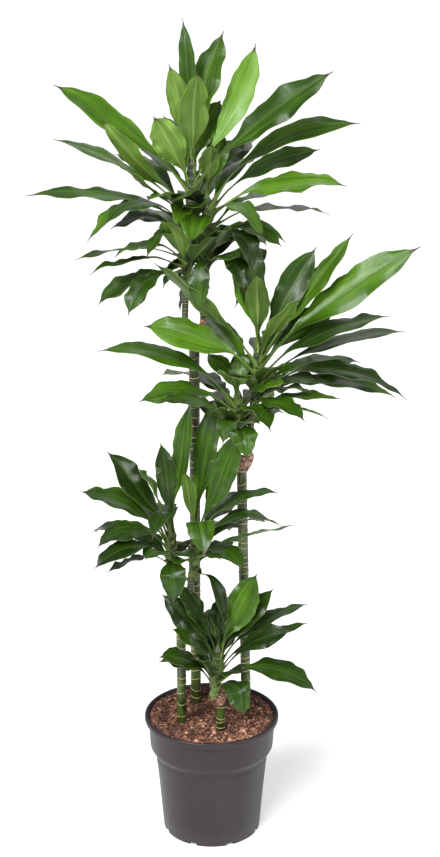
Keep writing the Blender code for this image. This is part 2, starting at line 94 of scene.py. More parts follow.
camera = bpy.data.objects.new("camera", bpy.data.cameras.new("camera"))
camera.data.lens = CAMERA_LENS
camera.location = CAMERA_PLACE
camera.rotation_euler = (math.radians(90 - CAMERA_DOWN), 0, 0)
bpy.context.scene.collection.objects.link(camera)
bpy.context.scene.camera = camera

# %% [markdown]
# ## Studio light
# A broad sun gives the same light all over the floor, so the background stays one even white.
# Soft boxes are what the glossy leaves mirror. The surroundings fill the shadows with a dim
# light, but are seen as plain white.

# %% Studio light
SKY_LIGHT = 0.34
SUN_LIGHT = 3.15
SUN_SOFTNESS = 35  # degrees
SUN_FROM = (-0.45, -0.75, 1.0)
SOFT_BOXES = {
    "left": ((-2.3, -2.2, 2.9), 1.1, 85),
    "right": ((2.4, -1.6, 2.4), 1.0, 55),
    "front": ((0.9, -3.0, 2.5), 0.6, 22),
    "back": ((0.6, 2.6, 2.9), 1.8, 10),
}


def add_light(name, kind, place, target, power):
    """A light at the place, turned so that it shines at the target."""
    light = bpy.data.objects.new(name, bpy.data.lights.new(name, kind))
    light.data.energy = power
    light.location = place
    light.rotation_euler = (Vector(target) - light.location).to_track_quat("-Z", "Y").to_euler()
    bpy.context.scene.collection.objects.link(light)
    return light


world = bpy.data.worlds.new("white studio")
world.use_nodes = True
sky = world.node_tree.nodes["Background"]
sky.inputs["Color"].default_value = (1, 1, 1, 1)
seen = world.node_tree.nodes.new("ShaderNodeLightPath").outputs["Is Camera Ray"]
strength = world.node_tree.nodes.new("ShaderNodeMapRange")
strength.inputs["To Min"].default_value = SKY_LIGHT
strength.inputs["To Max"].default_value = 1.0
world.node_tree.links.new(seen, strength.inputs["Value"])
world.node_tree.links.new(strength.outputs["Result"], sky.inputs["Strength"])
bpy.context.scene.world = world
bpy.context.scene.view_settings.view_transform = "Standard"

sun = add_light("sun", "SUN", SUN_FROM, (0, 0, 0), SUN_LIGHT)
sun.data.angle = math.radians(SUN_SOFTNESS)
for name, (place, size, power) in SOFT_BOXES.items():
    box = add_light(f"soft_box_{name}", "AREA", place, (0, 0, 0.9), power)
    box.data.size = size

# %% [markdown]
# ## Helpers for materials
# These helpers keep a material's chain of nodes to a few lines. `add_node` makes a node and
# fills its inputs, where an input may be a number, a colour or another node's output, and
# `shader_of` starts a material and gives back its Principled shader.

# %% Helpers for materials
def srgb(red, green, blue):
    """A colour of 0 to 255 on a screen, as the linear values that a shader takes."""
    parts = (red, green, blue)
    return tuple(((c / 255 + 0.055) / 1.055) ** 2.4 if c > 10 else c / 3294.6 for c in parts)


def join(tree, source, target):
    """Feeds an input with another node's output, a colour or a number."""
    if isinstance(source, bpy.types.NodeSocket):
        tree.links.new(source, target)
    elif isinstance(source, tuple) and target.type == "RGBA":
        target.default_value = (*source, 1)
    else:
        target.default_value = source


def add_node(tree, kind, settings=None, **inputs):
    node = tree.nodes.new(f"ShaderNode{kind}")
    for name, value in (settings or {}).items():
        setattr(node, name, value)
    for name, value in inputs.items():
        key = int(name[1:]) if name[1:].isdigit() else name.replace("_", " ")
        join(tree, value, node.inputs[key])
    return node


def maths(tree, operation, first, second=0.0, clamp=False):
    settings = {"operation": operation, "use_clamp": clamp}
    return add_node(tree, "Math", settings, i0=first, i1=second).outputs[0]


def fade(tree, value, low, high, start=0.0, end=1.0):
    """Goes smoothly from start to end while the value goes from low to high."""
    return add_node(
        tree, "MapRange", {"interpolation_type": "SMOOTHSTEP"},
        Value=value, From_Min=low, From_Max=high, To_Min=start, To_Max=end,
    ).outputs["Result"]


def blend(tree, share, first, second):
    """Mixes two colours."""
    return add_node(tree, "Mix", {"data_type": "RGBA"}, i0=share, i6=first, i7=second).outputs[2]


def ramp(tree, value, stops):
    """A run of colours. A stop is its place from 0 to 1, then red, green and blue."""
    node = add_node(tree, "ValToRGB", Fac=value)
    marks = node.color_ramp.elements
    while len(marks) < len(stops):
        marks.new(0.5)
    for mark, (place, *colour) in zip(marks, stops):
        mark.position = place
        mark.color = (*srgb(*colour), 1)
    return node.outputs["Color"]


def noise_of(tree, where, scale, detail=3.0, rough=0.5):
    return add_node(
        tree, "TexNoise", Vector=where, Scale=scale, Detail=detail, Roughness=rough
    ).outputs["Fac"]


def stretched(tree, where, scale, shift=(0, 0, 0)):
    return add_node(tree, "Mapping", Vector=where, Scale=scale, Location=shift).outputs["Vector"]


def shader_of(name):
    """A new material, as (material, its node tree, its Principled shader)."""
    made = bpy.data.materials.new(name)
    made.use_nodes = True
    return made, made.node_tree, made.node_tree.nodes["Principled BSDF"]


def object_place(tree):
    return add_node(tree, "TexCoord").outputs["Object"]


def attribute(tree, name):
    return add_node(tree, "Attribute", {"attribute_name": name}).outputs["Fac"]


def relief(tree, shader, height, depth, strength=1.0):
    """Bump whose height runs from 0 to depth metres."""
    bump = add_node(tree, "Bump", Height=height, Distance=depth, Strength=strength)
    join(tree, bump.outputs["Normal"], shader.inputs["Normal"])


# %% [markdown]
# ## Shared grain
# Plastic, cane bark, crumbs and leaves share one node group: a scale goes in, and a fine
# grain and slower clouds come out. Each material places it with its own scale.

# %% Shared grain
def shared_group(name, inputs, outputs):
    """An empty shader node group with named number inputs and outputs."""
    group = bpy.data.node_groups.new(name, "ShaderNodeTree")
    for label, value in inputs.items():
        socket = group.interface.new_socket(label, in_out="INPUT", socket_type="NodeSocketFloat")
        socket.default_value = value
    for label in outputs:
        group.interface.new_socket(label, in_out="OUTPUT", socket_type="NodeSocketFloat")
    entry = group.nodes.new("NodeGroupInput")
    leave = group.nodes.new("NodeGroupOutput")
    return group, entry.outputs, leave.inputs


def use_group(tree, group, **inputs):
    node = tree.nodes.new("ShaderNodeGroup")
    node.node_tree = group
    for label, value in inputs.items():
        join(tree, value, node.inputs[label.replace("_", " ")])
    return node.outputs


GRAIN, grain_in, grain_out = shared_group("grain", {"Scale": 300.0}, ("Grain", "Clouds"))
grain_place = object_place(GRAIN)
join(GRAIN, noise_of(GRAIN, grain_place, grain_in["Scale"], 4.0, 0.6), grain_out["Grain"])
cloud_scale = maths(GRAIN, "MULTIPLY", grain_in["Scale"], 0.06)
join(GRAIN, noise_of(GRAIN, grain_place, cloud_scale, 2.0), grain_out["Clouds"])

# %% [markdown]
# ## Helpers for pieces
# `add_piece` turns a bmesh into a finished piece: it rides on the plant's one body and stands
# for its CAD nodes, which it hides. `loft` grows a skin ring by ring, by extruding the open end
# and placing its points. It makes canes, stems and the plain leaf solids. Its marks are kept on
# the points as an attribute that a material reads.

# %% Helpers for pieces
def as_object(name, bm, looks=()):
    thing = bpy.data.objects.new(name, bpy.data.meshes.new(name))
    bm.to_mesh(thing.data)
    bm.free()
    for look in looks:
        thing.data.materials.append(look)
    bpy.context.scene.collection.objects.link(thing)
    return thing


def add_piece(name, bm, looks, nodes, smooth_angle):
    piece = as_object(name, bm, looks)
    piece.data.shade_smooth()
    piece.data.set_sharp_from_angle(angle=math.radians(smooth_angle))
    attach(piece, "root")
    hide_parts(*nodes)
    return piece


def face_outwards(bm):
    bmesh.ops.recalc_face_normals(bm, faces=bm.faces)
    if bm.calc_volume(signed=True) < 0:
        bmesh.ops.reverse_faces(bm, faces=bm.faces)


def loft(rings, tip=None, creases=(), marks=None):
    """A closed skin over rings of points, run to a point where a tip is given.

    Each crease joins a point of one ring to a point of the next. Each ring has one mark.
    """
    bm = bmesh.new()
    layer = bm.verts.layers.float.new("mark") if marks else None
    circle = bmesh.ops.create_circle(bm, cap_ends=True, segments=len(rings[0]), radius=1)
    ring = circle["verts"]
    for vert, point in zip(ring, rings[0]):
        vert.co = point
    start = cap = ring[0].link_faces[0]
    for place, points in enumerate(rings[1:], 1):
        known = set(bm.verts)
        made = bmesh.ops.extrude_face_region(bm, geom=[cap])["geom"]
        if cap is not start:
            bm.faces.remove(cap)
        cap = next(item for item in made if isinstance(item, bmesh.types.BMFace))
        last = ring
        ends = [[edge.other_vert(vert) for edge in vert.link_edges] for vert in last]
        ring = [next(vert for vert in near if vert not in known) for near in ends]
        for vert, point in zip(ring, points):
            vert.co = point
            if marks:
                vert[layer] = marks[place]
        for here, there in creases:
            shared = set(last[here].link_faces) & set(ring[there].link_faces)
            bmesh.utils.face_split(shared.pop(), last[here], ring[there])
    if tip is not None:
        bmesh.ops.pointmerge(bm, verts=ring, merge_co=tip)
    return bm


def turned(angle):
    """The level way out at this angle."""
    return Vector((math.cos(angle), math.sin(angle), 0))


def circle_points(centre, radius, sides):
    return [centre + turned(math.tau * index / sides) * radius for index in range(sides)]


def lathe(outline, sides):
    """Spins an outline of (radius, height) points about the Z axis."""
    bm = bmesh.new()
    verts = [bm.verts.new((radius, 0, height)) for radius, height in outline]
    edges = [bm.edges.new(pair) for pair in zip(verts, verts[1:])]
    bmesh.ops.spin(
        bm, geom=verts + edges, axis=(0, 0, 1), angle=math.tau, steps=sides, use_merge=True
    )
    bmesh.ops.remove_doubles(bm, verts=bm.verts, dist=0.00001)
    face_outwards(bm)
    return bm


def share_between(value, low, high):
    return min(max((value - low) / (high - low), 0), 1)


def smooth(share):
    return share * share * (3 - 2 * share)


# %% [markdown]
# ## The floor
# The plant stands on a plain pale floor that runs out of sight.

# %% The floor
FLOOR_SIZE = 160.0
FLOOR_GLOW = 0.12  # like a light table, it thins the shadow

floor_look, tree, shader = shader_of("pale floor")
cloudy = use_group(tree, GRAIN, Scale=40.0)
floor_tone = blend(tree, cloudy["Clouds"], (0.95, 0.95, 0.95), (0.98, 0.98, 0.98))
join(tree, floor_tone, shader.inputs["Base Color"])
shader.inputs["Roughness"].default_value = 0.9
shader.inputs["Emission Color"].default_value = (1, 1, 1, 1)
shader.inputs["Emission Strength"].default_value = FLOOR_GLOW

bm = bmesh.new()
bmesh.ops.create_grid(bm, x_segments=1, y_segments=1, size=FLOOR_SIZE / 2)
as_object("floor", bm, [floor_look])

# %% [markdown]
# ## Measures of the pot
# The pot is an injection-moulded grower's pot. A thin wall is stiffened by the wide collar
# under its rim, which also lets empty pots stack. The main measures are the CAD's own.

# %% Measures of the pot
RIM_RADIUS = 0.135
POT_HEIGHT = 0.250
BASE_RADIUS = 0.0985
TAPER = ((0.1025, 0.050), (0.1068, 0.100))  # the wall below its grooves, in (radius, height)
STEP = [  # the slope from the tapered wall out to the collar, in (radius, height)
    (0.1138, 0.1690), (0.1146, 0.1700), (0.1172, 0.1735), (0.1205, 0.1775), (0.1230, 0.1810),
    (0.1240, 0.1832), (0.1244, 0.1855),
]
WALL = 0.0025
FOOT_RISE = 0.003  # of the underside, between its foot ring and its middle pad
PAD_RADIUS = 0.018
DRAIN_HOLES = 8
DRAIN_SIZE = (0.020, 0.016, 0.014)
POT_SIDES = 144
GROOVES = (  # rings pressed into the wall, in (radius, height, depth in mm)
    (0.1098, 0.1320, 0.15), (0.1117, 0.1465, 0.20), (0.1130, 0.1605, 0.40),
)

# %% [markdown]
# ## The pot's plastic
# Recycled plastic is a warm dark grey with slightly lighter clouds and the fine orange peel
# of a worn mould. Handling leaves faint upright scuffs, and a little dust lies at the base.

# %% The pot's plastic
pot_look, tree, shader = shader_of("dark grey plastic")
grain = use_group(tree, GRAIN, Scale=520.0)
place = object_place(tree)
height = add_node(tree, "SeparateXYZ", Vector=place).outputs["Z"]
scuffs = noise_of(tree, stretched(tree, place, (26, 26, 5)), 1.0, 3.0, 0.6)
scuffed = fade(tree, scuffs, 0.42, 0.72)
plain = blend(tree, grain["Clouds"], srgb(28, 22, 26), srgb(38, 31, 35))
speckled = blend(tree, fade(tree, grain["Grain"], 0.58, 0.75, 0.0, 0.20), plain, srgb(74, 69, 71))
dusty = blend(tree, fade(tree, height, 0.0, 0.05, 0.06, 0.0), speckled, srgb(104, 98, 94))
join(tree, blend(tree, maths(tree, "MULTIPLY", scuffed, 0.03), dusty, srgb(140, 134, 132)),
     shader.inputs["Base Color"])
dullness = maths(tree, "ADD", 0.36, maths(tree, "MULTIPLY", grain["Clouds"], 0.12))
join(tree, maths(tree, "ADD", dullness, maths(tree, "MULTIPLY", scuffed, 0.12)),
     shader.inputs["Roughness"])
shader.inputs["Specular IOR Level"].default_value = 0.30
relief(tree, shader, grain["Grain"], 0.15 * MM, 0.5)

# %% [markdown]
# ## The pot
# Everything on the pot is round, so its wall is one outline spun about the upright axis: the
# foot ring, the tapered wall, the rounded step out to the collar, the rolled rim and the way
# back down inside. The drain holes are cut through the corner between wall and base.

# %% The pot
def arc(centre, radius, start, end, steps):
    """Points of a round corner, with its angles in degrees."""
    angles = [math.radians(start + (end - start) * step / steps) for step in range(steps + 1)]
    return [(centre[0] + radius * math.cos(a), centre[1] + radius * math.sin(a)) for a in angles]


def groove(radius, height, depth_mm):
    depth = depth_mm * MM
    return [
        (radius, height - 1.6 * depth),
        (radius - depth, height - 0.9 * depth),
        (radius - depth, height + 0.9 * depth),
        (radius, height + 1.6 * depth),
    ]


def pot_outline():
    foot = BASE_RADIUS
    lip, top = RIM_RADIUS, POT_HEIGHT
    return [
        (0, 0), (PAD_RADIUS, 0), (PAD_RADIUS + 0.003, FOOT_RISE),
        (foot - 0.0285, FOOT_RISE), (foot - 0.0245, 0),
        *arc((foot - 0.003, 0.003), 0.003, -90, 0, 4),
        *TAPER, *[point for ring in GROOVES for point in groove(*ring)], *STEP,
        (lip - 0.0086, top - 0.0340), (lip - 0.0078, top - 0.0160),
        *arc((lip - 0.0050, top - 0.0104), 0.0024, 215, 270, 3),
        *arc((lip - 0.0030, top - 0.0098), 0.0030, -90, 0, 4),
        *arc((lip - 0.0036, top - 0.0036), 0.0036, 0, 150, 8),
        (lip - 0.0080, top - 0.0050), (lip - 0.0075 - WALL, top - 0.0110),
        *[(radius - WALL, height) for radius, height in reversed(STEP)],
        (TAPER[1][0] - WALL, TAPER[1][1]), (foot - WALL + 0.0005, 0.009),
        (foot - WALL - 0.0025, FOOT_RISE + WALL), (0, FOOT_RISE + WALL),
    ]


def reshaped(bm, kind, **settings):
    """Gives back the bmesh as a modifier of this kind leaves it."""
    body = as_object("shape", bm)
    step = body.modifiers.new("step", kind)
    for name, value in settings.items():
        setattr(step, name, value)
    result = bmesh.new()
    result.from_object(body, bpy.context.evaluated_depsgraph_get())
    bpy.data.objects.remove(body)
    return result


drains = bmesh.new()
for index in range(DRAIN_HOLES):
    turn = Matrix.Rotation(math.tau * (index + 0.5) / DRAIN_HOLES, 4, "Z")
    out = Matrix.Translation((BASE_RADIUS - 0.002, 0, 0))
    bmesh.ops.create_cube(drains, size=1, matrix=turn @ out @ Matrix.Diagonal((*DRAIN_SIZE, 1)))
cutter = as_object("drain_cutter", drains)
wall = reshaped(lathe(pot_outline(), POT_SIDES), "BOOLEAN", operation="DIFFERENCE", object=cutter)
bpy.data.objects.remove(cutter)
pot = add_piece("grower_pot", wall, [pot_look], ["pot"], 32)
print("pot faces:", len(pot.data.polygons))

# %% [markdown]
# ## Where canes and stems run
# Four old canes stand in the bark. Near each cut top one or two young shoots left the cane's
# side. A shoot runs up beside its cane and then eases over to the heart of its crown. The
# measures and rules are the CAD's, so that every piece lands on its CAD node.

# %% Where canes and stems run
SOIL_TOP = 0.231
SOIL_EDGE = 0.244
SOIL_GAP = 0.0004

Cane = namedtuple("Cane", "foot top radius")
CANE_BOTTOM = 0.150
CALLUS = 0.0008
GAP = 0.0003
CANES = {
    "tall": Cane((-0.033, 0.088), (-0.033, 0.090, 1.030), 0.0105),
    "right": Cane((0.071, 0.055), (0.059, 0.050, 0.775), 0.0100),
    "left": Cane((-0.060, 0.005), (-0.061, 0.000, 0.484), 0.0095),
    "short": Cane((0.018, -0.031), (0.019, -0.033, 0.306), 0.0090),
}
STEM_RADIUS = 0.0062
STEM_TIP_RADIUS = 0.0035
STEM_START = 0.020


def cane_centre(name, height):
    cane = CANES[name]
    foot = Vector((*cane.foot, SOIL_TOP - 0.006))
    return foot.lerp(Vector(cane.top), (height - foot.z) / (cane.top[2] - foot.z))


def stem_centre(shoot, height):
    """A stem runs up beside its cane, and above the cut it eases over to the heart."""
    cane = CANES[shoot.cane]
    bearing = math.radians(shoot.bearing)
    beside = cane.radius + CALLUS + GAP + STEM_RADIUS
    start = cane_centre(shoot.cane, min(height, cane.top[2])) + turned(bearing) * beside
    start.z = height
    heart = Vector(shoot.heart)
    share = share_between(height, cane.top[2], heart.z)
    return start.lerp(Vector((heart.x, heart.y, height)), smooth(share))


# %% [markdown]
# ## The bark bed
# Composted bark and coir fill the pot: a bumpy bed, and loose crumbs on it. A crumb is a ball
# of twenty faces, flattened and pushed about at random until it is a shard. A random number
# on each picks its brown.

# %% Bark colours
BARK_BROWNS = (
    (0.00, 30, 17, 9), (0.22, 66, 38, 26), (0.48, 100, 64, 46), (0.72, 130, 87, 66),
    (0.90, 156, 110, 86), (1.00, 192, 150, 122),
)
bark_look, tree, shader = shader_of("composted bark")
grain = use_group(tree, GRAIN, Scale=650.0)
crumbs = add_node(tree, "TexVoronoi", Vector=object_place(tree), Scale=230.0)
crumb_tone = add_node(tree, "SeparateColor", Color=crumbs.outputs["Color"]).outputs[0]
damp = noise_of(tree, object_place(tree), 28.0, 2.0)
own_tone = maths(tree, "MULTIPLY", attribute(tree, "crumb"), fade(tree, damp, 0.36, 0.60, 0.50, 0.85))
tone = maths(tree, "ADD", own_tone, maths(tree, "MULTIPLY", crumb_tone, 0.22))
tone = maths(tree, "ADD", tone, fade(tree, grain["Grain"], 0.3, 0.7, -0.12, 0.12), clamp=True)
join(tree, ramp(tree, tone, BARK_BROWNS), shader.inputs["Base Color"])
join(tree, fade(tree, grain["Grain"], 0.3, 0.7, 0.75, 0.95), shader.inputs["Roughness"])
relief(tree, shader, grain["Grain"], 0.5 * MM, 0.8)

# %% The bark bed
BED_SIDES = 96
BED_BUMPS = 0.0022
CRUMBS = 3000
CRUMB_REACH = 0.1252  # how far out a crumb's middle may lie


def bed_height(x, y):
    """The bed is dished round the canes and rises to the rim."""
    dish = smooth(share_between(math.hypot(x, y), 0.082, 0.126))
    level = SOIL_TOP - 0.0035 + (SOIL_EDGE - SOIL_TOP + 0.003) * dish
    return level + noise.noise(Vector((x, y, 0)) * 38) * BED_BUMPS


bed_edge = RIM_RADIUS - 0.0085 - SOIL_GAP
wall = WALL + SOIL_GAP
outline = [(radius * MM, SOIL_TOP) for radius in range(6, 126, 6)]
outline += [
    (bed_edge, SOIL_EDGE - 0.001), (RIM_RADIUS - 0.0075 - wall, POT_HEIGHT - 0.0110),
    *[(radius - wall, height) for radius, height in reversed(STEP)],
    (0.1068 - wall, 0.100), (BASE_RADIUS - wall + 0.0005, 0.009 + SOIL_GAP),
    (BASE_RADIUS - wall - 0.0025, FOOT_RISE + wall), (0, FOOT_RISE + wall),
]
bm = lathe([(0, SOIL_TOP), *outline], BED_SIDES)
tone_layer = bm.verts.layers.float.new("crumb")
for vert in bm.verts:
    vert[tone_layer] = 0.06
    if abs(vert.co.z - SOIL_TOP) < 0.1 * MM:
        vert.co.z = bed_height(vert.co.x, vert.co.y)
face_outwards(bm)
add_piece("bark_bed", bm, [bark_look], ["potting_bark"], 60)


def add_crumb(bm, rng, layer, place, size, tone):
    turn = Matrix.Rotation(rng.uniform(0, math.tau), 4, "Z")
    turn = turn @ Matrix.Rotation(rng.uniform(-0.7, 0.7), 4, "X")
    length = size * rng.uniform(0.8, 1.7)
    flat = Matrix.Diagonal((length, size * rng.uniform(0.5, 0.9), size * rng.uniform(0.25, 0.5), 1))
    made = bmesh.ops.create_icosphere(
        bm, subdivisions=1, radius=0.5, matrix=Matrix.Translation(place) @ turn @ flat
    )
    for vert in made["verts"]:
        knock = Vector((rng.uniform(-1, 1), rng.uniform(-1, 1), rng.uniform(-1, 1)))
        vert.co += knock * size * 0.13
        vert[layer] = tone


rng = random.Random(7)
bm = bmesh.new()
layer = bm.verts.layers.float.new("crumb")
for _ in range(CRUMBS):
    away = CRUMB_REACH * math.sqrt(rng.random())
    angle = rng.uniform(0, math.tau)
    x, y = away * math.cos(angle), away * math.sin(angle)
    room = 1 - 0.6 * share_between(away, 0.116, CRUMB_REACH)
    size = (0.0034 + 0.0068 * rng.random() ** 2.6) * room
    lift = rng.uniform(-0.1, 0.45) * size
    tone = min(max(rng.gauss(0.62, 0.30), 0.03), 1.3)
    if any(math.dist((x, y), cane.foot) < cane.radius + 0.002 for cane in CANES.values()):
        continue
    add_crumb(bm, rng, layer, Vector((x, y, bed_height(x, y) + lift)), size, tone)
print("crumb faces:", len(bm.faces))
add_piece("bark_crumbs", bm, [bark_look], ["potting_bark"], 25)

# %% [markdown]
# ## Cane bark
# A cane is a length of old stem with smooth dark green bark. Each thin tan ring is the scar
# of a leaf that once clasped it. It stands a little proud, with a painted shadow line under it,
# so it is a ridge in the shape and a colour, which the "mark" attribute carries: below zero the
# mark paints that shadow. The cut top is healed over with brown callus: there the mark is above
# one.

# %% Cane bark
CANE_SIDES = 40
SCAR_STEPS = (  # height from the scar's middle, bulge, mark
    (-3.6 * MM, 0.0, 0.0),
    # painted shadow: the mark of -0.8 darkens the bark just under the proud ring
    (-1.3 * MM, 0.15 * MM, -0.8),
    (-0.55 * MM, 0.50 * MM, 1.0),
    (0.45 * MM, 0.55 * MM, 1.0),
    (1.0 * MM, -0.05 * MM, 0.0),
    (2.0 * MM, 0.0, 0.0),
)
CALLUS_TALL = 0.013
CALLUS_BROWNS = ((0.34, 40, 28, 18), (0.46, 92, 64, 46), (0.58, 142, 104, 80), (0.72, 184, 150, 118))
CALLUS_STEPS = (  # height from the cut and swelling, in mm
    (-12, 0.0), (-11, 0.32), (-8, 0.80), (-5, 0.72), (-3, 0.88), (-1.2, 0.48), (0, -0.96),
    (0, -4.0), (-1.5, -6.0),
)


def bark_material(name, dark, light, scar, roughness):
    """Green bark with lengthwise streaks, tan scars with a painted shadow under each, and brown callus."""
    made, tree, shader = shader_of(name)
    place = object_place(tree)
    grain = use_group(tree, GRAIN, Scale=700.0)
    mark = attribute(tree, "mark")
    streaks = noise_of(tree, stretched(tree, place, (420, 420, 26)), 1.0, 4.0, 0.6)
    patches = noise_of(tree, stretched(tree, place, (60, 60, 34)), 1.0, 2.0)
    green = blend(tree, fade(tree, patches, 0.32, 0.68), dark, light)
    # painted shadow under each scar's ridge: where the mark falls below zero, the bark goes towards near
    # black
    scar_shadow_painted = blend(tree, fade(tree, mark, -0.8, 0.0, 0.75, 0.0), green, srgb(16, 22, 6))
    streaked = blend(tree, fade(tree, streaks, 0.50, 0.80, 0.0, 0.30), scar_shadow_painted, scar)
    breaks = noise_of(tree, stretched(tree, place, (150, 150, 60), (2, 0, 0)), 1.0, 2.0)
    breaks = fade(tree, breaks, 0.32, 0.48, 0.25, 1.0)
    worn = maths(tree, "MULTIPLY", fade(tree, mark, 0.3, 0.9), breaks)
    ringed = blend(tree, worn, streaked, scar)
    wrinkles = noise_of(tree, stretched(tree, place, (90, 90, 330)), 1.0, 3.0, 0.6)
    pith = ramp(tree, wrinkles, CALLUS_BROWNS)
    join(tree, blend(tree, fade(tree, mark, 1.2, 1.8), ringed, pith), shader.inputs["Base Color"])
    dullness = fade(tree, streaks, 0.3, 0.7, roughness - 0.07, roughness + 0.12)
    join(tree, dullness, shader.inputs["Roughness"])
    ridges = maths(tree, "ADD", streaks, maths(tree, "MULTIPLY", grain["Grain"], 0.5))
    relief(tree, shader, ridges, 0.3 * MM, 0.6)
    return made


cane_look = bark_material("cane bark", srgb(22, 33, 8), srgb(60, 81, 29), srgb(176, 164, 108), 0.34)

# %% The canes
SCAR_GAPS = (0.010, 0.013, 0.017, 0.022, 0.029)


def cane_stations(rng, bottom, top):
    """(height, bulge, mark, tilt, towards) from the foot to where the callus starts."""
    stations = [(bottom, 0.0, 0.0, 0.0, 0.0)]
    height = SOIL_TOP + rng.uniform(0.002, 0.012)
    before = SCAR_GAPS[0]
    while height < top - 0.008:
        gap = rng.choice(SCAR_GAPS)
        tilt = rng.uniform(0.10, 0.24) * min(before, gap)
        towards = rng.uniform(0, math.tau)
        stations += [(height + off, bulge, mark, tilt, towards) for off, bulge, mark in SCAR_STEPS]
        height += gap
        before = gap
    return stations


def cane_ring(name, height, size, lumps, tilt=0.0, towards=0.0):
    """A tilted ring of bark. The lumps are how fine they are round and up, and how deep."""
    fine, tall, deep = lumps
    points = []
    for index in range(CANE_SIDES):
        angle = math.tau * index / CANE_SIDES
        out = turned(angle)
        lean = tilt * (math.cos(angle - towards) + 0.3 * math.cos(2 * angle))
        lump = noise.noise(Vector((out.x * fine, out.y * fine, height * tall))) * deep
        points.append(cane_centre(name, height + lean) + out * max(size + lump, 1 * MM))
    return points


def cane_mesh(name):
    cane = CANES[name]
    top = cane.top[2]
    stations = cane_stations(random.Random(name), CANE_BOTTOM, top - CALLUS_TALL)
    rings = []
    marks = []
    for height, bulge, mark, tilt, towards in stations:
        rings.append(cane_ring(name, height, cane.radius + bulge, (1, 14, 0.35 * MM), tilt, towards))
        marks.append(mark)
    for drop, swell in CALLUS_STEPS:
        deep = 0.7 * MM if drop > -11 else 0.0
        rings.append(cane_ring(name, top + drop * MM, cane.radius + swell * MM, (2, 160, deep)))
        marks.append(2.0 if drop > -12 else 0.0)
    bm = loft(rings, marks=marks)
    face_outwards(bm)
    return bm


for name in CANES:
    cane = add_piece(f"cane_bark_{name}", cane_mesh(name), [cane_look], [f"cane_{name}"], 60)
    print(cane.name, "faces:", len(cane.data.polygons))

# %% [markdown]
# ## The leaves, as drawn
# Every leaf is one entry. Its tip is given in cm from the heart of the crown: right, back and
# up. The arch is how far its middle stands off the straight line to the tip, and the roll, in
# degrees, turns its upper side to the front. An outer leaf is a CAD node of its own, and an
# inner one belongs to its shoot's node. Each crown runs from its youngest leaf down.

# %% The leaves, as drawn
Leaf = namedtuple("Leaf", "kind right back up arch width roll")
Shoot = namedtuple("Shoot", "cane bearing heart pitch leaves")

inner = partial(Leaf, "inner")
outer = partial(Leaf, "leaf")

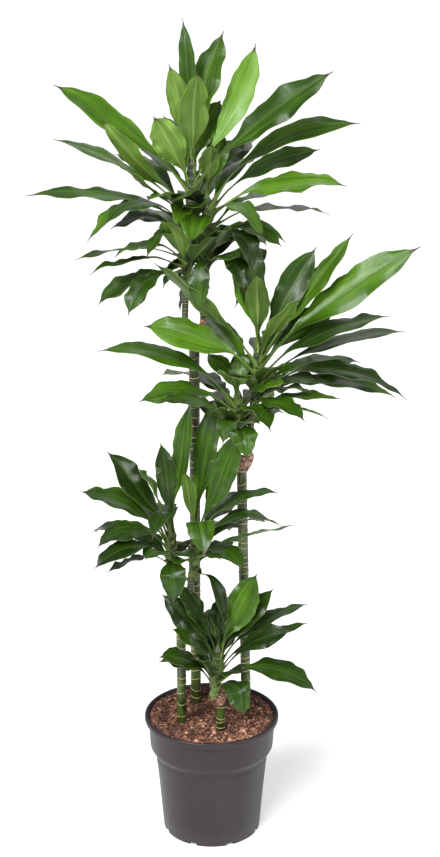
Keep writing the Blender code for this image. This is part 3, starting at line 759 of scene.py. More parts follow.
SHOOTS = {  # a leaf: right, back, up, arch, width in cm, roll in degrees
    "tall_left": Shoot("tall", 190, (-0.036, 0.085, 1.339), 0.66, (
        inner(-1.5, 2, 26.5, 0.5, 2.2, 50), inner(-4, -2, 18.5, 0.5, 3.8, -60),
        inner(6, 5, 24, 1.5, 4.4, 15), inner(1, -2.5, 17.5, 0.5, 4.4, 0), inner(5.5, 7, 11.5, 1, 4.6, 20),
        inner(12, 3, 22, -1.5, 4.2, 50), outer(26, 2, 17.5, 1, 5.6, 50), outer(-26, 3, 14.5, 1, 4.8, 40),
        inner(-7, -5, 9.5, 0.5, 4.8, -55), inner(-11.5, 6, 3.5, 1, 3, 10), inner(12.5, 8, 4, 1, 3.6, 10),
        inner(-6, 21, 7, 2, 4.6, 0), inner(12, 15.5, 3, 1.5, 4.4, 0), inner(-16.5, -4, 9, -1, 3.2, -50),
        outer(-25, -5, 5.5, 1.5, 4, 15), inner(-14, -8, 2.5, -1, 3.2, 0), outer(-31, -2, -5.5, 2, 4, 15),
        inner(-17, 18, 0, 3, 4.6, 0), outer(-19.5, -3, -14, 5, 4, 10), outer(-16, -8, -10, 4.5, 5, 10),
        inner(-3, -9, -11.5, 4, 3.4, 0), inner(-8, -12, -4, 3.5, 4.6, 0), outer(-15.5, 2, -12.5, 3, 4, 15),
        inner(6, 24, -5, 4, 4.6, 0), inner(-8.5, -7, -16.5, 3.5, 3, 0), inner(-6, 6, -14, 3, 4.6, 10),
        outer(-22.5, 0, -18, 1, 3.6, -20), inner(2, -12, -9, 4, 4.6, 0),
        outer(-13.5, -6, -17, 2.5, 4.2, 10), inner(-19.5, -3, -20, 1.5, 3.2, 0),
        inner(-11, 21, -12, 4, 4.6, 0), outer(-18.5, 2, -27, 1.5, 4, 20), outer(-12, -6, -27.5, 3, 4.2, 10),
        inner(-5, -8, -9, 1.5, 4.6, 0), inner(5, -9, -12, 1.5, 4.6, 0), inner(4, 10, -13, 1.5, 4.4, 0),
    )),
    "tall_right": Shoot("tall", 10, (-0.007, 0.095, 1.269), 0.60, (
        inner(1, -2, 11, 0.5, 3, 0), inner(3, 3, 13, 0.5, 3.6, 20), outer(28.5, 0, 14.5, 4.5, 4.2, 30),
        outer(21.5, 6, 9, 2, 4.2, 20), outer(26, -3, 3.5, 2.3, 5.2, 35), inner(9.5, 21, 6, 2.5, 4.6, 0),
        inner(10.5, -10, -5.5, 4, 4.4, 10), inner(-6, -14, 2, 2.5, 4.6, 0), outer(23.5, 4, -3, 2, 4.4, 5),
        inner(-5, 24, -3, 3.5, 4.6, 0), inner(19, 18, -1, 3, 4.6, 0), inner(-3, -13, -6, 4, 4.6, 0),
        outer(7.5, -7, -12.5, 4, 4.8, 0), inner(15, 3, -8.5, 3, 4.2, 10), outer(14, -4, -8, 3, 4, 15),
        inner(11, 3, -13, 3.5, 4.4, 5), inner(-1.5, -6, -15.5, 3, 3.2, 0), outer(2.5, -6, -20, 3.5, 3.4, 0),
        outer(-10.5, 6, -18.5, 1.5, 5, 15), inner(12, 19.5, -12, 4, 4.6, 0), inner(7, -7, -16, 3.5, 4.4, 0),
        inner(-8.5, -3, -17, 2, 3, 20), inner(-5.5, 3, -22, 1.5, 3, 20), inner(4, -9, -4, 1.5, 4.6, 0),
        inner(-5, -8, -7, 1.5, 4.4, 0), inner(10, -6, -9, 2, 4.4, 0), inner(6, 9, -6, 1.5, 4.4, 0),
        inner(-3, 10, -10, 1.5, 4.4, 0),
    )),
    "right_right": Shoot("right", 30, (0.090, 0.055, 0.991), 0.55, (
        inner(-3, 4, 26, 1, 5, 0), inner(-5, 1, 17, 0.5, 4, 40), inner(-0.5, -2.5, 15.5, 0.5, 3.8, 0),
        inner(11, 2, 19.5, 0.5, 4.8, 50), inner(17.5, 0, 22.5, -0.5, 4, 30),
        inner(-19.5, 3, 18, 0.5, 4.2, -40), outer(30, -3, 20.5, 1.5, 5.8, 50),
        inner(8, -10, 12.5, 1.5, 5, 0), outer(-21.5, -6, 6, 1.5, 5.4, 45), inner(15.5, 6, 7, 1.5, 4.6, 15),
        outer(24.5, -4, 7.5, 2, 5, 30), inner(9.5, 22.5, 2, 3, 4.6, 0), outer(28.5, 3, 3, 2.2, 4.4, 10),
        inner(-11, 15.5, 3.5, 1.5, 4.6, 0), outer(28.5, -4, -9, 4.5, 4.8, 25),
        inner(2.5, 25, -4, 4, 4.6, 0), outer(17, 5, -5, 2.5, 4.6, 15), outer(27, 2, -10, 3, 4.2, 15),
        inner(21.5, 17, -7, 3, 4.6, 0), inner(4, -9, -1, 1.5, 4.6, 0), inner(-5, -7, -4, 1.5, 4.4, 0),
        inner(10, -6, -7, 2, 4.4, 0), inner(-4, 9, -3, 1.5, 4.4, 0), inner(7, 8, -8, 2, 4.4, 0),
    )),
    "right_left": Shoot("right", 195, (0.052, 0.045, 0.902), 0.50, (
        inner(1, 3, 9, 0.5, 3, 0), inner(-6, 7, 6.5, 1, 3.6, 20), inner(10, -4, 8, 0.5, 3.4, 20),
        inner(-2, -12, 7, 1.5, 4.6, 0), outer(-27, 2, 8.5, 4, 5, 28), inner(18, 4, 0.5, 2.5, 4.2, 5),
        outer(-19, -2, -1, 2.5, 4.8, 25), inner(-15.5, 19.5, -1, 3, 4.6, 0),
        outer(19.5, -4, 0.5, 1.5, 3.8, 5), inner(-9.5, 15.5, 0.5, 2, 4.4, 0),
        outer(12.5, -9, -3.5, 3, 4.4, 10), inner(6, -9.5, -4.5, 3.5, 4.8, 0), inner(17, -8, -1, 2, 3.2, 0),
        inner(7, 21, -8, 4, 4.6, 0), outer(-14.5, -8, 1, 2.5, 4, 15), inner(11.5, 6, -6, 1.5, 3.6, 0),
        inner(-3, -8, -7.5, 3.5, 3.2, 0), inner(-7, 22.5, -7, 4, 4.6, 0), outer(1.5, -8, -10.5, 4, 4.4, 0),
        inner(-5, -7, -1, 1.5, 4.4, 0), inner(4, -8, -3, 1.5, 4.4, 0), inner(-9, 5, -3, 1.5, 4.4, 0),
        inner(3, 9, -5, 1.5, 4.4, 0),
    )),
    "left_left": Shoot("left", 185, (-0.077, 0.000, 0.632), 0.50, (
        inner(3.5, 3.5, 26, 0.5, 4, 10), inner(-2, 2, 18.5, 0.5, 3.4, 30), inner(-6, -3, 15, 0.5, 4, 20),
        outer(-12.5, 2, 16.5, 1, 4.8, 45), inner(-3.5, -11, 3, 5.5, 3.8, 0),
        outer(-18, 4, 7.5, 2.5, 4.6, 15), inner(-12, 18, 3, 2.5, 4.4, 0), outer(-14.5, -4, -2, 3.5, 5, 28),
        inner(-3.5, 22.5, -2, 3.5, 4.4, 0), outer(-14.5, -9, -3.5, 3, 4.6, 15),
        inner(-17, 12.5, -4, 3, 4.4, 0), inner(-12.5, -6, -5.5, 1.5, 3.2, -10),
        outer(0.5, -8, -11, 4, 5, 0), inner(-5, -7, 1, 1.5, 4.4, 0), inner(4, -7, -2, 1.5, 4.2, 0),
        inner(-8, 5, -1, 1.5, 4.2, 0), inner(2, 8, -4, 1.5, 4.2, 0),
    )),
    "left_right": Shoot("left", 5, (-0.032, 0.000, 0.622), 0.50, (
        inner(4, 5, 26, 0.5, 5, 10), inner(-2, -2, 15, 0.5, 2.8, 0), outer(8.5, 1.5, 22, 0.5, 5.2, 60),
        inner(2, -11, 0.5, 5.5, 4.6, 0), outer(16.5, 2, 9, 4, 4, 5), inner(9.5, 19.5, 4, 2.5, 4.4, 0),
        outer(17, -2, 1.5, 4.2, 4.4, 12), inner(19.5, -5, 5, 0.3, 3.6, 0), inner(15.5, 14, -2, 3, 4.4, 0),
        outer(9.5, -7, -3.5, 3, 4.4, 10), inner(1, 22.5, -6, 4, 4.4, 0), inner(8.5, 8, -5.5, 1.5, 3.8, 0),
        outer(5.5, -6, -15, 3, 3.6, 0), inner(5, -7, 1, 1.5, 4.4, 0), inner(-3, -8, -2, 1.5, 4.2, 0),
        inner(8, 5, -2, 1.5, 4.2, 0), inner(0.5, 8, -4, 1.5, 4.2, 0),
    )),
    "short": Shoot("short", 200, (0.013, -0.030, 0.401), 0.45, (
        inner(2, 1, 9, 0.3, 3, 0), inner(-1.5, -2, 8, 0.3, 3, 0), inner(1, 6, 9, 0.5, 4.2, 0),
        outer(7.5, 2, 17.5, 0.3, 5.4, 60), inner(-7.5, 3, 10.5, 0.5, 3.8, 20), inner(11, 3, 13, 0.5, 4, 30),
        outer(-11, 0, 10, 1, 5, 50), inner(18, 5, 8, 2, 4, 10), inner(8.5, 15.5, 4, 2, 4.2, 0),
        outer(14, -6, 7, 1.2, 4.8, 25), inner(-9, -4, 6.5, 0.5, 3.8, 10), inner(17.5, -2, 7, 1, 3.4, 0),
        inner(-9.5, 7, 1.5, 1.5, 3.8, 0), inner(-5, 18, 1, 2.5, 4.2, 0),
        outer(19.5, -5, -6.5, 3.5, 4.6, 22), inner(-11.5, -5, 1, 1.5, 4.4, 20),
        inner(-11, 4, -2.5, 1.5, 3.8, 5), inner(2.5, 19.5, -4, 3, 4.2, 0), outer(5, -8, -10.5, 4, 4.8, 0),
        inner(-5, -6, 1, 1.5, 4.2, 0), inner(5, -8, -1, 1.5, 4.2, 0), inner(-3, 8, 0.5, 1.5, 4.2, 0),
    )),
}
print("leaves drawn:", sum(len(shoot.leaves) for shoot in SHOOTS.values()))

# %% [markdown]
# ## Plain leaf solids
# The CAD laid its leaves from the front to the back and eased each one aside until it cleared
# those already laid. The same search is made here with the same plain solids, so that each
# finished leaf lies where its CAD leaf lies. Tests against detailed blades would take minutes.

# %% Plain leaf solids
LEAF_STATIONS = (0.0, 0.22, 0.42, 0.65, 0.87)  # shares of a leaf's length
BLADE_WIDTH = 1.15
STALK_END, WIDEST = 0.12, 0.55
HALF_THICKNESS = 0.0007
CREASES = ((0, 1), (2, 1), (2, 3), (0, 3))
NECK = 0.16  # how wide the foot is, as a share of the blade
FOLD = 0.15
ROLLED_BY = 0.35  # where along the leaf its roll is complete
CLEARANCE = 0.0005  # the least gap between leaves of different pieces
TURN_STEP = 4  # degrees
LIFT_STEP = 1  # cm
SLIDE_STEP = 0.3  # cm along the stem
FIRST_FOOT = 0.01  # the youngest leaf's foot, above the heart
PLAIN_SIDES = 12


def plain_share(along):
    rise = share_between(along, STALK_END, WIDEST)
    fall = max((along - WIDEST) / (1 - WIDEST), 0)
    blade = smooth(rise) * math.cos(fall * math.pi / 2) ** 0.8
    return max(NECK * (1 - along), blade)


def leaf_line(shoot, index, turn=0, lift=0, slide=0):
    """Foot, bend and tip of the leaf's centre line, and the way it faces."""
    leaf = shoot.leaves[index]
    heart = Vector(shoot.heart)
    foot = stem_centre(shoot, heart.z + FIRST_FOOT + (slide - index * shoot.pitch) * CM)
    reach = Vector((leaf.right, leaf.back, leaf.up)) * CM + heart - foot
    reach = Matrix.Rotation(math.radians(turn), 3, "Z") @ reach + UP * lift * CM
    out = Vector((reach.x, reach.y, 0)).normalized()
    across = UP.cross(out)
    above = reach.cross(across).normalized()
    bend = reach / 2 + above * 2 * leaf.arch * CM
    if leaf.kind == "leaf":
        steep = bend.normalized().z
        foot = foot + out * (STEM_RADIUS + GAP + HALF_THICKNESS * max(steep, 0.2))
        reach = reach - out * STEM_RADIUS
    return foot, foot + bend, foot + reach, out


def leaf_frame(line, along, roll):
    """A point of the centre line, with the ways forward, to the side and above there."""
    foot, bend, tip, out = line
    centre = foot.lerp(bend, along).lerp(bend.lerp(tip, along), along)
    forward = (bend - foot).lerp(tip - bend, along).normalized()
    side = Matrix.Rotation(roll, 3, forward) @ UP.cross(out)
    return centre, forward, side, forward.cross(side)


def plain_leaf(shoot, index, turn=0, lift=0, slide=0, grown=0.0):
    leaf = shoot.leaves[index]
    line = leaf_line(shoot, index, turn, lift, slide)
    roll = math.radians(leaf.roll) * (1 if leaf.right > 0 else -1)
    rings = []
    for along in LEAF_STATIONS:
        centre, forward, side, above = leaf_frame(line, along, roll * min(along / ROLLED_BY, 1))
        half = leaf.width / 2 * CM * BLADE_WIDTH * plain_share(along) + grown
        thick = HALF_THICKNESS + grown
        rings.append([
            centre + side * half + above * half * FOLD,
            centre + above * thick,
            centre - side * half + above * half * FOLD,
            centre - above * thick,
        ])
    return loft(rings, line[2] + (line[2] - line[1]).normalized() * grown, CREASES)


def plain_tube(centre_at, heights, radii):
    """The search's tree of a plain tube, which takes its centres from a function."""
    return BVHTree.FromBMesh(
        loft([circle_points(centre_at(z), r, PLAIN_SIDES) for z, r in zip(heights, radii)])
    )


def plain_stem(shoot):
    bottom = CANES[shoot.cane].top[2] - STEM_START
    heart = shoot.heart[2]
    heights = [bottom, bottom + 0.008]
    heights += [bottom + (heart - bottom) * share for share in (0.35, 0.6, 0.8, 1)]
    heights += [heart + 0.015]
    radii = [STEM_RADIUS * 0.8] + [STEM_RADIUS] * 5 + [STEM_TIP_RADIUS]
    return plain_tube(partial(stem_centre, shoot), heights, radii)


def plain_cane(name):
    radius, top = CANES[name].radius, CANES[name].top[2]
    heights = [CANE_BOTTOM, top - 0.012, top - 0.008, top - 0.003, top]
    radii = [radius, radius, radius + CALLUS, radius + CALLUS, radius * 0.7]
    return plain_tube(partial(cane_centre, name), heights, radii)


# %% Lay the leaves
def settled_leaves():
    """Each leaf's turn, lift and slide from where it is drawn, so that no two pieces meet."""
    stems = {name: plain_stem(shoot) for name, shoot in SHOOTS.items()}
    canes = [plain_cane(name) for name in CANES]
    order = [
        (leaf.back, name, index)
        for name, shoot in SHOOTS.items()
        for index, leaf in enumerate(shoot.leaves)
    ]
    steps = list(itertools.product(range(-10, 11), range(-8, 9), range(-3, 4)))
    steps.sort(key=lambda step: (sum(map(abs, step)), step))
    laid = []
    settled = {}
    for _, name, index in sorted(order):
        shoot = SHOOTS[name]
        joined = shoot.leaves[index].kind == "inner"
        solid = canes + [tree for other, tree in stems.items() if other != name]
        solid += [tree for other, grown, tree in laid if not (joined and grown and other == name)]
        own = [] if joined else [stems[name]]
        for turn, lift, slide in steps:
            ease = (turn * TURN_STEP, lift * LIFT_STEP, slide * SLIDE_STEP)
            spread = BVHTree.FromBMesh(plain_leaf(shoot, index, *ease, CLEARANCE))
            tree = BVHTree.FromBMesh(plain_leaf(shoot, index, *ease))
            if not any(spread.overlap(o) for o in solid) and not any(tree.overlap(o) for o in own):
                break
        else:
            print("no clear place:", name, index)
        laid.append((name, joined, tree))
        settled[name, index] = ease
    return settled


SETTLED = settled_leaves()
print("leaves moved aside:", sum(any(ease) for ease in SETTLED.values()))

# %% [markdown]
# ## Young stems
# A crown's leaves grow so close that their clasping feet wrap the stem in sleeves, each tight
# at its lower end and standing off at its upper edge. Below the crown the leaves have fallen,
# and the bare stem is ringed with their scars like a cane.

# %% Young stems
STEM_SIDES = 28
SLEEVES_GROWN = 2.4 * MM  # how much thicker the sleeves make the stem
SLEEVE = (  # share of its height, how far it stands off, mark
    (0.0, 0.0, 0.0), (0.45, 0.35 * MM, 0.0), (0.86, 1.1 * MM, 0.0), (0.93, 1.15 * MM, 0.7),
    (0.95, 0.4 * MM, 0.0),
)

stem_look = bark_material("young stem", srgb(28, 38, 14), srgb(64, 78, 38), srgb(118, 116, 76), 0.5)


def stem_mesh(name):
    shoot = SHOOTS[name]
    rng = random.Random(name)
    bottom = CANES[shoot.cane].top[2] - STEM_START / 2
    heart = shoot.heart[2]
    lowest = heart + FIRST_FOOT - (len(shoot.leaves) - 1) * shoot.pitch * CM
    stations = [(bottom, -1.2 * MM, 0.0), (bottom + 0.004, -0.4 * MM, 0.0)]
    height = bottom + 0.008
    while height < lowest - 0.004:
        stations += [(height + off, bulge, mark) for off, bulge, mark in SCAR_STEPS]
        height += rng.choice((0.006, 0.008, 0.011))
    while height < heart - 0.004:
        step = 0.012 * rng.uniform(0.8, 1.3)
        grown = SLEEVES_GROWN * smooth(share_between(height, lowest - 0.004, lowest + 0.02))
        stations += [(height + up * step, grown + out, mark) for up, out, mark in SLEEVE]
        height += step
    top = heart + FIRST_FOOT
    for share in (0.0, 0.3, 0.6, 0.85, 1.0):
        thinner = (STEM_TIP_RADIUS - STEM_RADIUS) * share + SLEEVES_GROWN * (1 - share)
        stations.append((height + (top - height) * share, thinner, 0.0))
    rings = []
    for height, bulge, _ in stations:
        wander = noise.noise(Vector((height * 60, len(name), 0))) * 0.3 * MM
        size = STEM_RADIUS + bulge + wander
        rings.append(circle_points(stem_centre(shoot, height), size, STEM_SIDES))
    bm = loft(rings, marks=[mark for _, _, mark in stations])
    face_outwards(bm)
    return bm


for name in SHOOTS:
    stem = add_piece(f"stem_{name}", stem_mesh(name), [stem_look], [f"shoot_{name}"], 60)
    print(stem.name, "faces:", len(stem.data.polygons))

# %% [markdown]
# ## Callus knots
# Where shoots broke from the old cane, healing wood has swollen into a brown knot that holds
# the cut and their feet together. It is laid up from balls along the cane and the stems, with
# a few lumps at its sides. A remesh melts them into one skin, then smoothed and roughened.

# %% Callus knots
KNOT_GRAIN = 1.0 * MM  # size of the remeshed skin's squares
KNOT_BALLS = ((-27, -0.6), (-22, 0.2), (-17, 1.0), (-12, 1.8), (-7, 1.5))  # drop and swell in mm
KNOT_LUMPS = 9
KNOT_SIZES = {"tall": 0.9, "right": 1.3, "left": 0.8, "short": 0.3}  # share of the full swelling


def knot_mesh(name):
    cane = CANES[name]
    top = cane.top[2]
    rng = random.Random(f"knot {name}")
    full = KNOT_SIZES[name] * MM
    balls = []
    for drop, swell in KNOT_BALLS:
        balls.append((cane_centre(name, top + drop * MM), cane.radius + swell * full))
    for shoot, drop in itertools.product(SHOOTS.values(), range(-24, 18, 3)):
        if shoot.cane == name:
            swell = 2.2 * full * (1 - smooth(share_between(drop, -4, 16)))
            over = 0.3 + 0.7 * share_between(drop, -24, -6)
            height = top + drop * MM
            middle = cane_centre(name, height).lerp(stem_centre(shoot, height), over)
            balls.append((middle, STEM_RADIUS + swell))
    for _ in range(KNOT_LUMPS):
        out = turned(rng.uniform(0, math.tau)) * cane.radius
        middle = cane_centre(name, top - rng.uniform(5, 25) * MM) + out
        balls.append((middle, rng.uniform(2.2, 4.2) * full))
    bm = bmesh.new()
    for middle, radius in balls:
        place = Matrix.Translation(middle)
        bmesh.ops.create_icosphere(bm, subdivisions=3, radius=radius, matrix=place)
    bm = reshaped(bm, "REMESH", mode="VOXEL", voxel_size=KNOT_GRAIN)
    for _ in range(4):
        bmesh.ops.smooth_vert(
            bm, verts=bm.verts, factor=0.5, use_axis_x=True, use_axis_y=True, use_axis_z=True
        )
    bm.normal_update()
    mark = bm.verts.layers.float.new("mark")
    for vert in bm.verts:
        lump = 1.5 * noise.noise(vert.co * 150) + 0.7 * noise.noise(vert.co * 400)
        vert.co += vert.normal * lump * MM
        vert[mark] = 2.0
    face_outwards(bm)
    return bm


for name in CANES:
    knot = add_piece(f"callus_{name}", knot_mesh(name), [cane_look], [f"cane_{name}"], 180)
    print(knot.name, "faces:", len(knot.data.polygons))

# %% [markdown]
# ## Leaf finish
# A corn plant's leaf has no side veins. Fine ribs run its whole length, so its pattern follows
# the leaf's own UV map, across the blade and from foot to tip, and stretched noise on that map
# gives the ribs. A shared group puts out what both sides need. The upper side is waxy and
# dark, and the underside is pale and duller. Each leaf carries a "tone" on its points, from 0
# for an old dark leaf to 1 for a young one, and a "seed" that shifts the pattern. The tone also
# holds painted light and shade: a leaf that light shines through is set lighter, and the lower
# crowns and a few leaves deep in shade are set darker.

# %% Leaf ribs, shared by both sides
RIBS, ribs_in, ribs_out = shared_group(
    "leaf ribs", {"Ribs across": 34.0}, ("Ribs", "Bands", "Midrib", "Edge", "Foot", "Tip")
)
leaf_map = add_node(RIBS, "UVMap", {"uv_map": "leaf"}).outputs["UV"]
seed = attribute(RIBS, "seed")
split = add_node(RIBS, "SeparateXYZ", Vector=leaf_map).outputs
across, along = split["X"], split["Y"]
rib_place = add_node(
    RIBS, "CombineXYZ",
    X=maths(RIBS, "MULTIPLY", across, ribs_in["Ribs across"]),
    Y=maths(RIBS, "MULTIPLY", along, 1.6),
    Z=maths(RIBS, "MULTIPLY", seed, 40.0),
).outputs["Vector"]
join(RIBS, noise_of(RIBS, rib_place, 1.0, 3.0, 0.65), ribs_out["Ribs"])
band_place = stretched(RIBS, rib_place, (0.17, 0.9, 1.0), (3.0, 0.0, 0.0))
join(RIBS, noise_of(RIBS, band_place, 1.0, 2.0), ribs_out["Bands"])
off_middle = maths(RIBS, "ABSOLUTE", maths(RIBS, "SUBTRACT", across, 0.5))
join(RIBS, fade(RIBS, off_middle, 0.010, 0.070, 1.0, 0.0), ribs_out["Midrib"])
join(RIBS, fade(RIBS, off_middle, 0.470, 0.492), ribs_out["Edge"])
ragged = maths(RIBS, "ADD", along, maths(RIBS, "MULTIPLY", noise_of(RIBS, rib_place, 0.6), 0.05))
join(RIBS, fade(RIBS, ragged, 0.06, 0.30, 1.0, 0.0), ribs_out["Foot"])
join(RIBS, fade(RIBS, ragged, 0.950, 0.980), ribs_out["Tip"])

# %% Upper side and underside
DRY_TIP = srgb(60, 52, 32)
UPPER_GREENS = (
    (0.00, 18, 33, 5), (0.30, 34, 59, 8), (0.55, 56, 90, 11), (0.80, 84, 122, 30), (1.00, 104, 138, 68),
)
UNDER_GREENS = ((0.00, 36, 52, 18), (0.35, 54, 76, 24), (0.70, 88, 118, 42), (1.00, 140, 172, 92))


def leaf_material(name, greens, pale, gloss, coat, rib_depth, midrib_light):
    """One side of a leaf: greens picked by tone and ribs, a pale stalk and a dry tip."""
    made, tree, shader = shader_of(name)
    ribs = use_group(tree, RIBS, Ribs_across=34.0)
    clouds = use_group(tree, GRAIN, Scale=260.0)
    ribbed = fade(tree, ribs["Ribs"], 0.32, 0.70, -0.07, 0.08)
    banded = fade(tree, ribs["Bands"], 0.35, 0.68, -0.08, 0.10)
    cloudy = fade(tree, clouds["Clouds"], 0.35, 0.65, -0.06, 0.06)
    tone = maths(tree, "ADD", maths(tree, "ADD", attribute(tree, "tone"), ribbed), banded)
    tone = maths(tree, "ADD", tone, cloudy, clamp=True)
    green = ramp(tree, tone, greens)
    light = maths(tree, "MULTIPLY", ribs["Midrib"], midrib_light)
    light = maths(tree, "MAXIMUM", light, maths(tree, "MULTIPLY", ribs["Edge"], 0.25))
    light = maths(tree, "MAXIMUM", light, maths(tree, "MULTIPLY", ribs["Foot"], 0.45))
    veined = blend(tree, light, green, pale)
    join(tree, blend(tree, ribs["Tip"], veined, DRY_TIP), shader.inputs["Base Color"])
    dullness = fade(tree, ribs["Ribs"], 0.3, 0.7, gloss - 0.05, gloss + 0.10)
    join(tree, dullness, shader.inputs["Roughness"])
    shader.inputs["Specular IOR Level"].default_value = 0.20
    shader.inputs["Coat Weight"].default_value = coat
    shader.inputs["Coat Roughness"].default_value = 0.16
    ridges = maths(tree, "ADD", ribs["Ribs"], maths(tree, "MULTIPLY", ribs["Bands"], 0.8))
    ridges = maths(tree, "SUBTRACT", ridges, maths(tree, "MULTIPLY", ribs["Midrib"], 0.35))
    relief(tree, shader, ridges, rib_depth, 0.8)
    return made


PALE_UPPER, PALE_UNDER = srgb(104, 132, 50), srgb(126, 146, 82)
upper_look = leaf_material("leaf upper side", UPPER_GREENS, PALE_UPPER, 0.25, 0.15, 0.7 * MM, 0.10)
under_look = leaf_material("leaf underside", UNDER_GREENS, PALE_UNDER, 0.50, 0.0, 0.8 * MM, 0.40)

# %% [markdown]
# ## A leaf's blade
# A blade starts as a flat grid, whose points are carried onto the leaf's arched centre line.
# The foot is rolled round the stem, the stalk is folded like a gutter, and the blade opens to
# a shallow V with wavy edges. It ends in a thread, as a dry tip does. The sheet is thickened
# at the end, and the new faces take the underside's material.

# %% A leaf's blade
ACROSS, ALONG = 8, 36
SHEET = 0.9 * MM
CLASP = 13.5 * MM  # half the width of a leaf's foot, measured round the stem
CLASP_BEND = 1.45  # how far round the stem it reaches on each side, in radians
FOOT_DROP = 16 * MM  # how much lower on the stem a finished foot starts
FOOT_TUCK = 7 * MM  # how much closer to the stem the stalk keeps
FOOT_GROWN = 1.2 * MM  # how far the sleeves push a foot out
HUGS_TO = 0.34  # how far along it keeps close
NEAR = 0.004  # half the stretch that a direction is measured over
SPREAD = 1.08  # how much wider than its CAD solid a blade is
THREAD_FROM = 0.955
CLASP_OPENS = (0.02, 0.17)  # stretches of a leaf's length, as shares
GUTTER_OPENS = (0.12, 0.42)
BLADE_OPENS = (0.2, 0.5)
BLADE_CLOSES = (0.85, 0.96)
# painted light and shade besides each leaf's own colour: a leaf that light shines through is set lighter,
# and a few leaves lying in shade are set darker
LEAF_TONES_WITH_PAINTED_LIGHT_AND_SHADE = {  # leaves that stand out from their crown's own shade
    "tall_left": {2: 0.42, 3: 0.55, 5: 0.86, 7: 0.60, 8: 0.62, 13: 0.60},
    "tall_right": {2: 0.45, 4: 0.66}, "right_left": {4: 0.42}, "right_right": {6: 0.52, 8: 0.66},
    "left_left": {}, "left_right": {12: 0.10}, "short": {1: 0.0, 2: 0.10, 3: 0.56},
}
WIDTHS = {  # leaves that are wider or narrower than their measure
    "tall_left": {0: 1.15, 2: 1.2, 3: 1.15}, "tall_right": {0: 1.15, 1: 1.15},
    "right_left": {4: 0.85}, "right_right": {}, "left_left": {0: 0.82, 9: 0.85, 12: 0.85},
    "left_right": {0: 0.82, 2: 0.9, 12: 0.72}, "short": {1: 0.6, 3: 0.95, 6: 0.9, 9: 0.85},
}
# each crown's green; the lower crowns are set darker, which is painted shade from the crowns above them
CROWN_TONES_WITH_PAINTED_SHADE = {
    "tall_left": 0.36, "tall_right": 0.32, "right_right": 0.38, "right_left": 0.30,
    "left_left": 0.20, "left_right": 0.26, "short": 0.18,
}


class Blade:
    """How one leaf's blade differs from its fellows."""

    def __init__(self, name, index):
        rng = random.Random(f"{name} {index}")
        leaf = SHOOTS[name].leaves[index]
        self.half = leaf.width / 2 * CM * BLADE_WIDTH * SPREAD * WIDTHS[name].get(index, 1)
        self.stalk_end = rng.uniform(0.14, 0.21)
        self.widest = rng.uniform(0.53, 0.63)
        self.waves = rng.uniform(2.2, 4.2)
        self.phases = (rng.uniform(0, math.tau), rng.uniform(0, math.tau))
        self.ripple = rng.uniform(0.07, 0.15)
        self.twist = math.radians(rng.gauss(0, 18))
        self.bow = rng.uniform(-3.0, 3.0) * MM
        self.curl = rng.uniform(-0.2, 0.45) * CM
        self.fold = rng.uniform(0.10, 0.30)
        self.seed = rng.random()
        young = 0.10 * max(1 - index / 8, 0)
        shade = CROWN_TONES_WITH_PAINTED_SHADE[name] + young + rng.gauss(0, 0.12)
        self.tone = LEAF_TONES_WITH_PAINTED_LIGHT_AND_SHADE[name].get(index, min(max(shade, 0.05), 0.9))

    def share(self, along):
        """The blade's width here, as a share of its full width."""
        if along > THREAD_FROM:
            return 0.035 * (1 - share_between(along, THREAD_FROM, 1)) + 0.012
        rise = smooth(share_between(along, self.stalk_end, self.widest))
        fall = share_between(along, self.widest, THREAD_FROM)
        return max(0.13 * (1 - along), rise ** 0.8 * (1 - fall ** 2.6) ** 0.8, 0.04)

    def point(self, frame, along, across):
        """Where the point lies that is this far along and across, -1 to 1."""
        centre, forward, side, above = frame
        edge = abs(across)
        wave = math.sin(math.tau * self.waves * along + self.phases[across > 0])
        open_part = smooth(share_between(along, *BLADE_OPENS))
        open_part *= 1 - share_between(along, *BLADE_CLOSES)
        half = self.half * self.share(along)
        nick = noise.noise(Vector((along * 13, self.seed * 50, 3 * (across > 0))))
        half *= 1 + open_part * 0.13 * nick
        clasp = 1 - smooth(share_between(along, *CLASP_OPENS))
        half = max(half, clasp * CLASP)
        gutter = 1 - smooth(share_between(along, *GUTTER_OPENS))
        fold = self.fold + gutter * 0.75
        most = clasp * CLASP_BEND
        out = half * (math.sin(most * across) / most if clasp > 0.01 else across)
        lift = half * (1 - math.cos(most * across)) / most if clasp > 0.01 else 0.0
        slope = math.atan(fold) * (1 - clasp)
        lift += abs(out) * math.sin(slope) - half * 0.10 * open_part * edge ** 3
        out *= math.cos(slope)
        lift += self.half * self.ripple * open_part * (wave + 1.2 * nick) * edge ** 2
        sway = self.bow * math.sin(math.tau * 1.3 * along) * open_part
        droop = self.curl * share_between(along, 0.75, 1.0) ** 2
        return centre - side * out + above * (lift + sway - droop)


def blade_centre(line, along):
    """The plain leaf's line, but its foot starts lower and keeps close to the stem."""
    foot, bend, tip, out = line
    hug = share_between(along, 0, HUGS_TO)
    centre = foot.lerp(bend, along).lerp(bend.lerp(tip, along), along)
    return centre - UP * FOOT_DROP * (1 - smooth(hug)) - out * FOOT_TUCK * math.sin(math.pi * hug)


def blade_frame(line, along, roll):
    """A point of the finished blade's line, with the ways forward, to the side and above."""
    ahead = blade_centre(line, min(along + NEAR, 1))
    forward = (ahead - blade_centre(line, max(along - NEAR, 0))).normalized()
    side = Matrix.Rotation(roll, 3, forward) @ UP.cross(line[3])
    return blade_centre(line, along), forward, side, forward.cross(side)


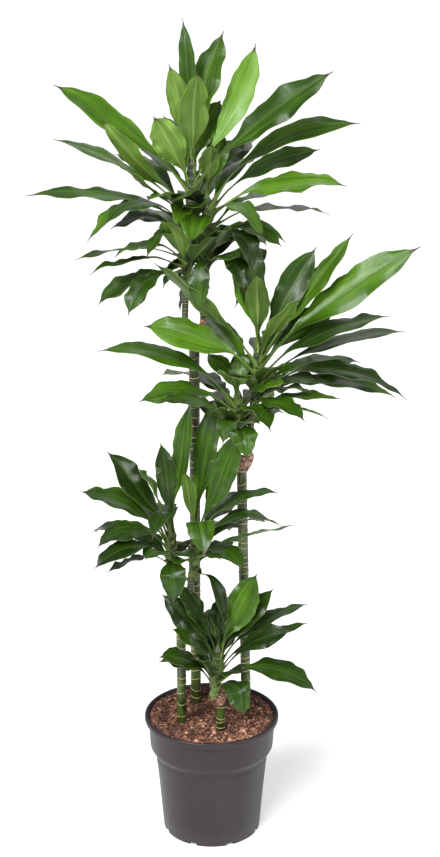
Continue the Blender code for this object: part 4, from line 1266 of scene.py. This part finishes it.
def add_blade(bm, name, index):
    """Adds one leaf to the bmesh: a grid, bent onto the leaf's line and thickened."""
    shoot = SHOOTS[name]
    leaf = shoot.leaves[index]
    blade = Blade(name, index)
    line = leaf_line(shoot, index, *SETTLED[name, index])
    stands_off = FOOT_GROWN + (STEM_RADIUS if leaf.kind == "inner" else 0)
    line = (line[0] + line[3] * stands_off, *line[1:])
    roll = math.radians(leaf.roll) * (1 if leaf.right > 0 else -1)
    sheet = bmesh.new()
    leaf_map = sheet.loops.layers.uv.new("leaf")
    tone = sheet.verts.layers.float.new("tone")
    seed = sheet.verts.layers.float.new("seed")
    bmesh.ops.create_grid(sheet, x_segments=ACROSS, y_segments=ALONG, size=1)
    for face in sheet.faces:
        for corner in face.loops:
            corner[leaf_map].uv = ((corner.vert.co.x + 1) / 2, (corner.vert.co.y + 1) / 2)
    for vert in sheet.verts:
        across, along = vert.co.x, (vert.co.y + 1) / 2
        twist = roll * min(along / ROLLED_BY, 1) + blade.twist * smooth(share_between(along, 0.3, 1))
        vert.co = blade.point(blade_frame(line, along, twist), along, across)
        vert[tone] = blade.tone
        vert[seed] = blade.seed
    sheet.normal_update()
    upper = set(sheet.faces)
    bmesh.ops.solidify(sheet, geom=sheet.faces[:], thickness=SHEET)
    for face in sheet.faces:
        face.material_index = 0 if face in upper else 1
    part = bpy.data.meshes.new("blade")
    sheet.to_mesh(part)
    sheet.free()
    bm.from_mesh(part)
    bpy.data.meshes.remove(part)


# %% The leaves
LEAF_SIDES = [upper_look, under_look]
for name, shoot in SHOOTS.items():
    young = bmesh.new()
    own = 0
    for index, leaf in enumerate(shoot.leaves):
        if leaf.kind == "inner":
            add_blade(young, name, index)
            continue
        own += 1
        bm = bmesh.new()
        add_blade(bm, name, index)
        label = f"{name}_{own:02d}"
        add_piece(f"blade_{label}", bm, LEAF_SIDES, [f"leaf_{label}"], 60)
    add_piece(f"inner_leaves_{name}", young, LEAF_SIDES, [f"shoot_{name}"], 60)
    print(name, "outer leaves:", own)
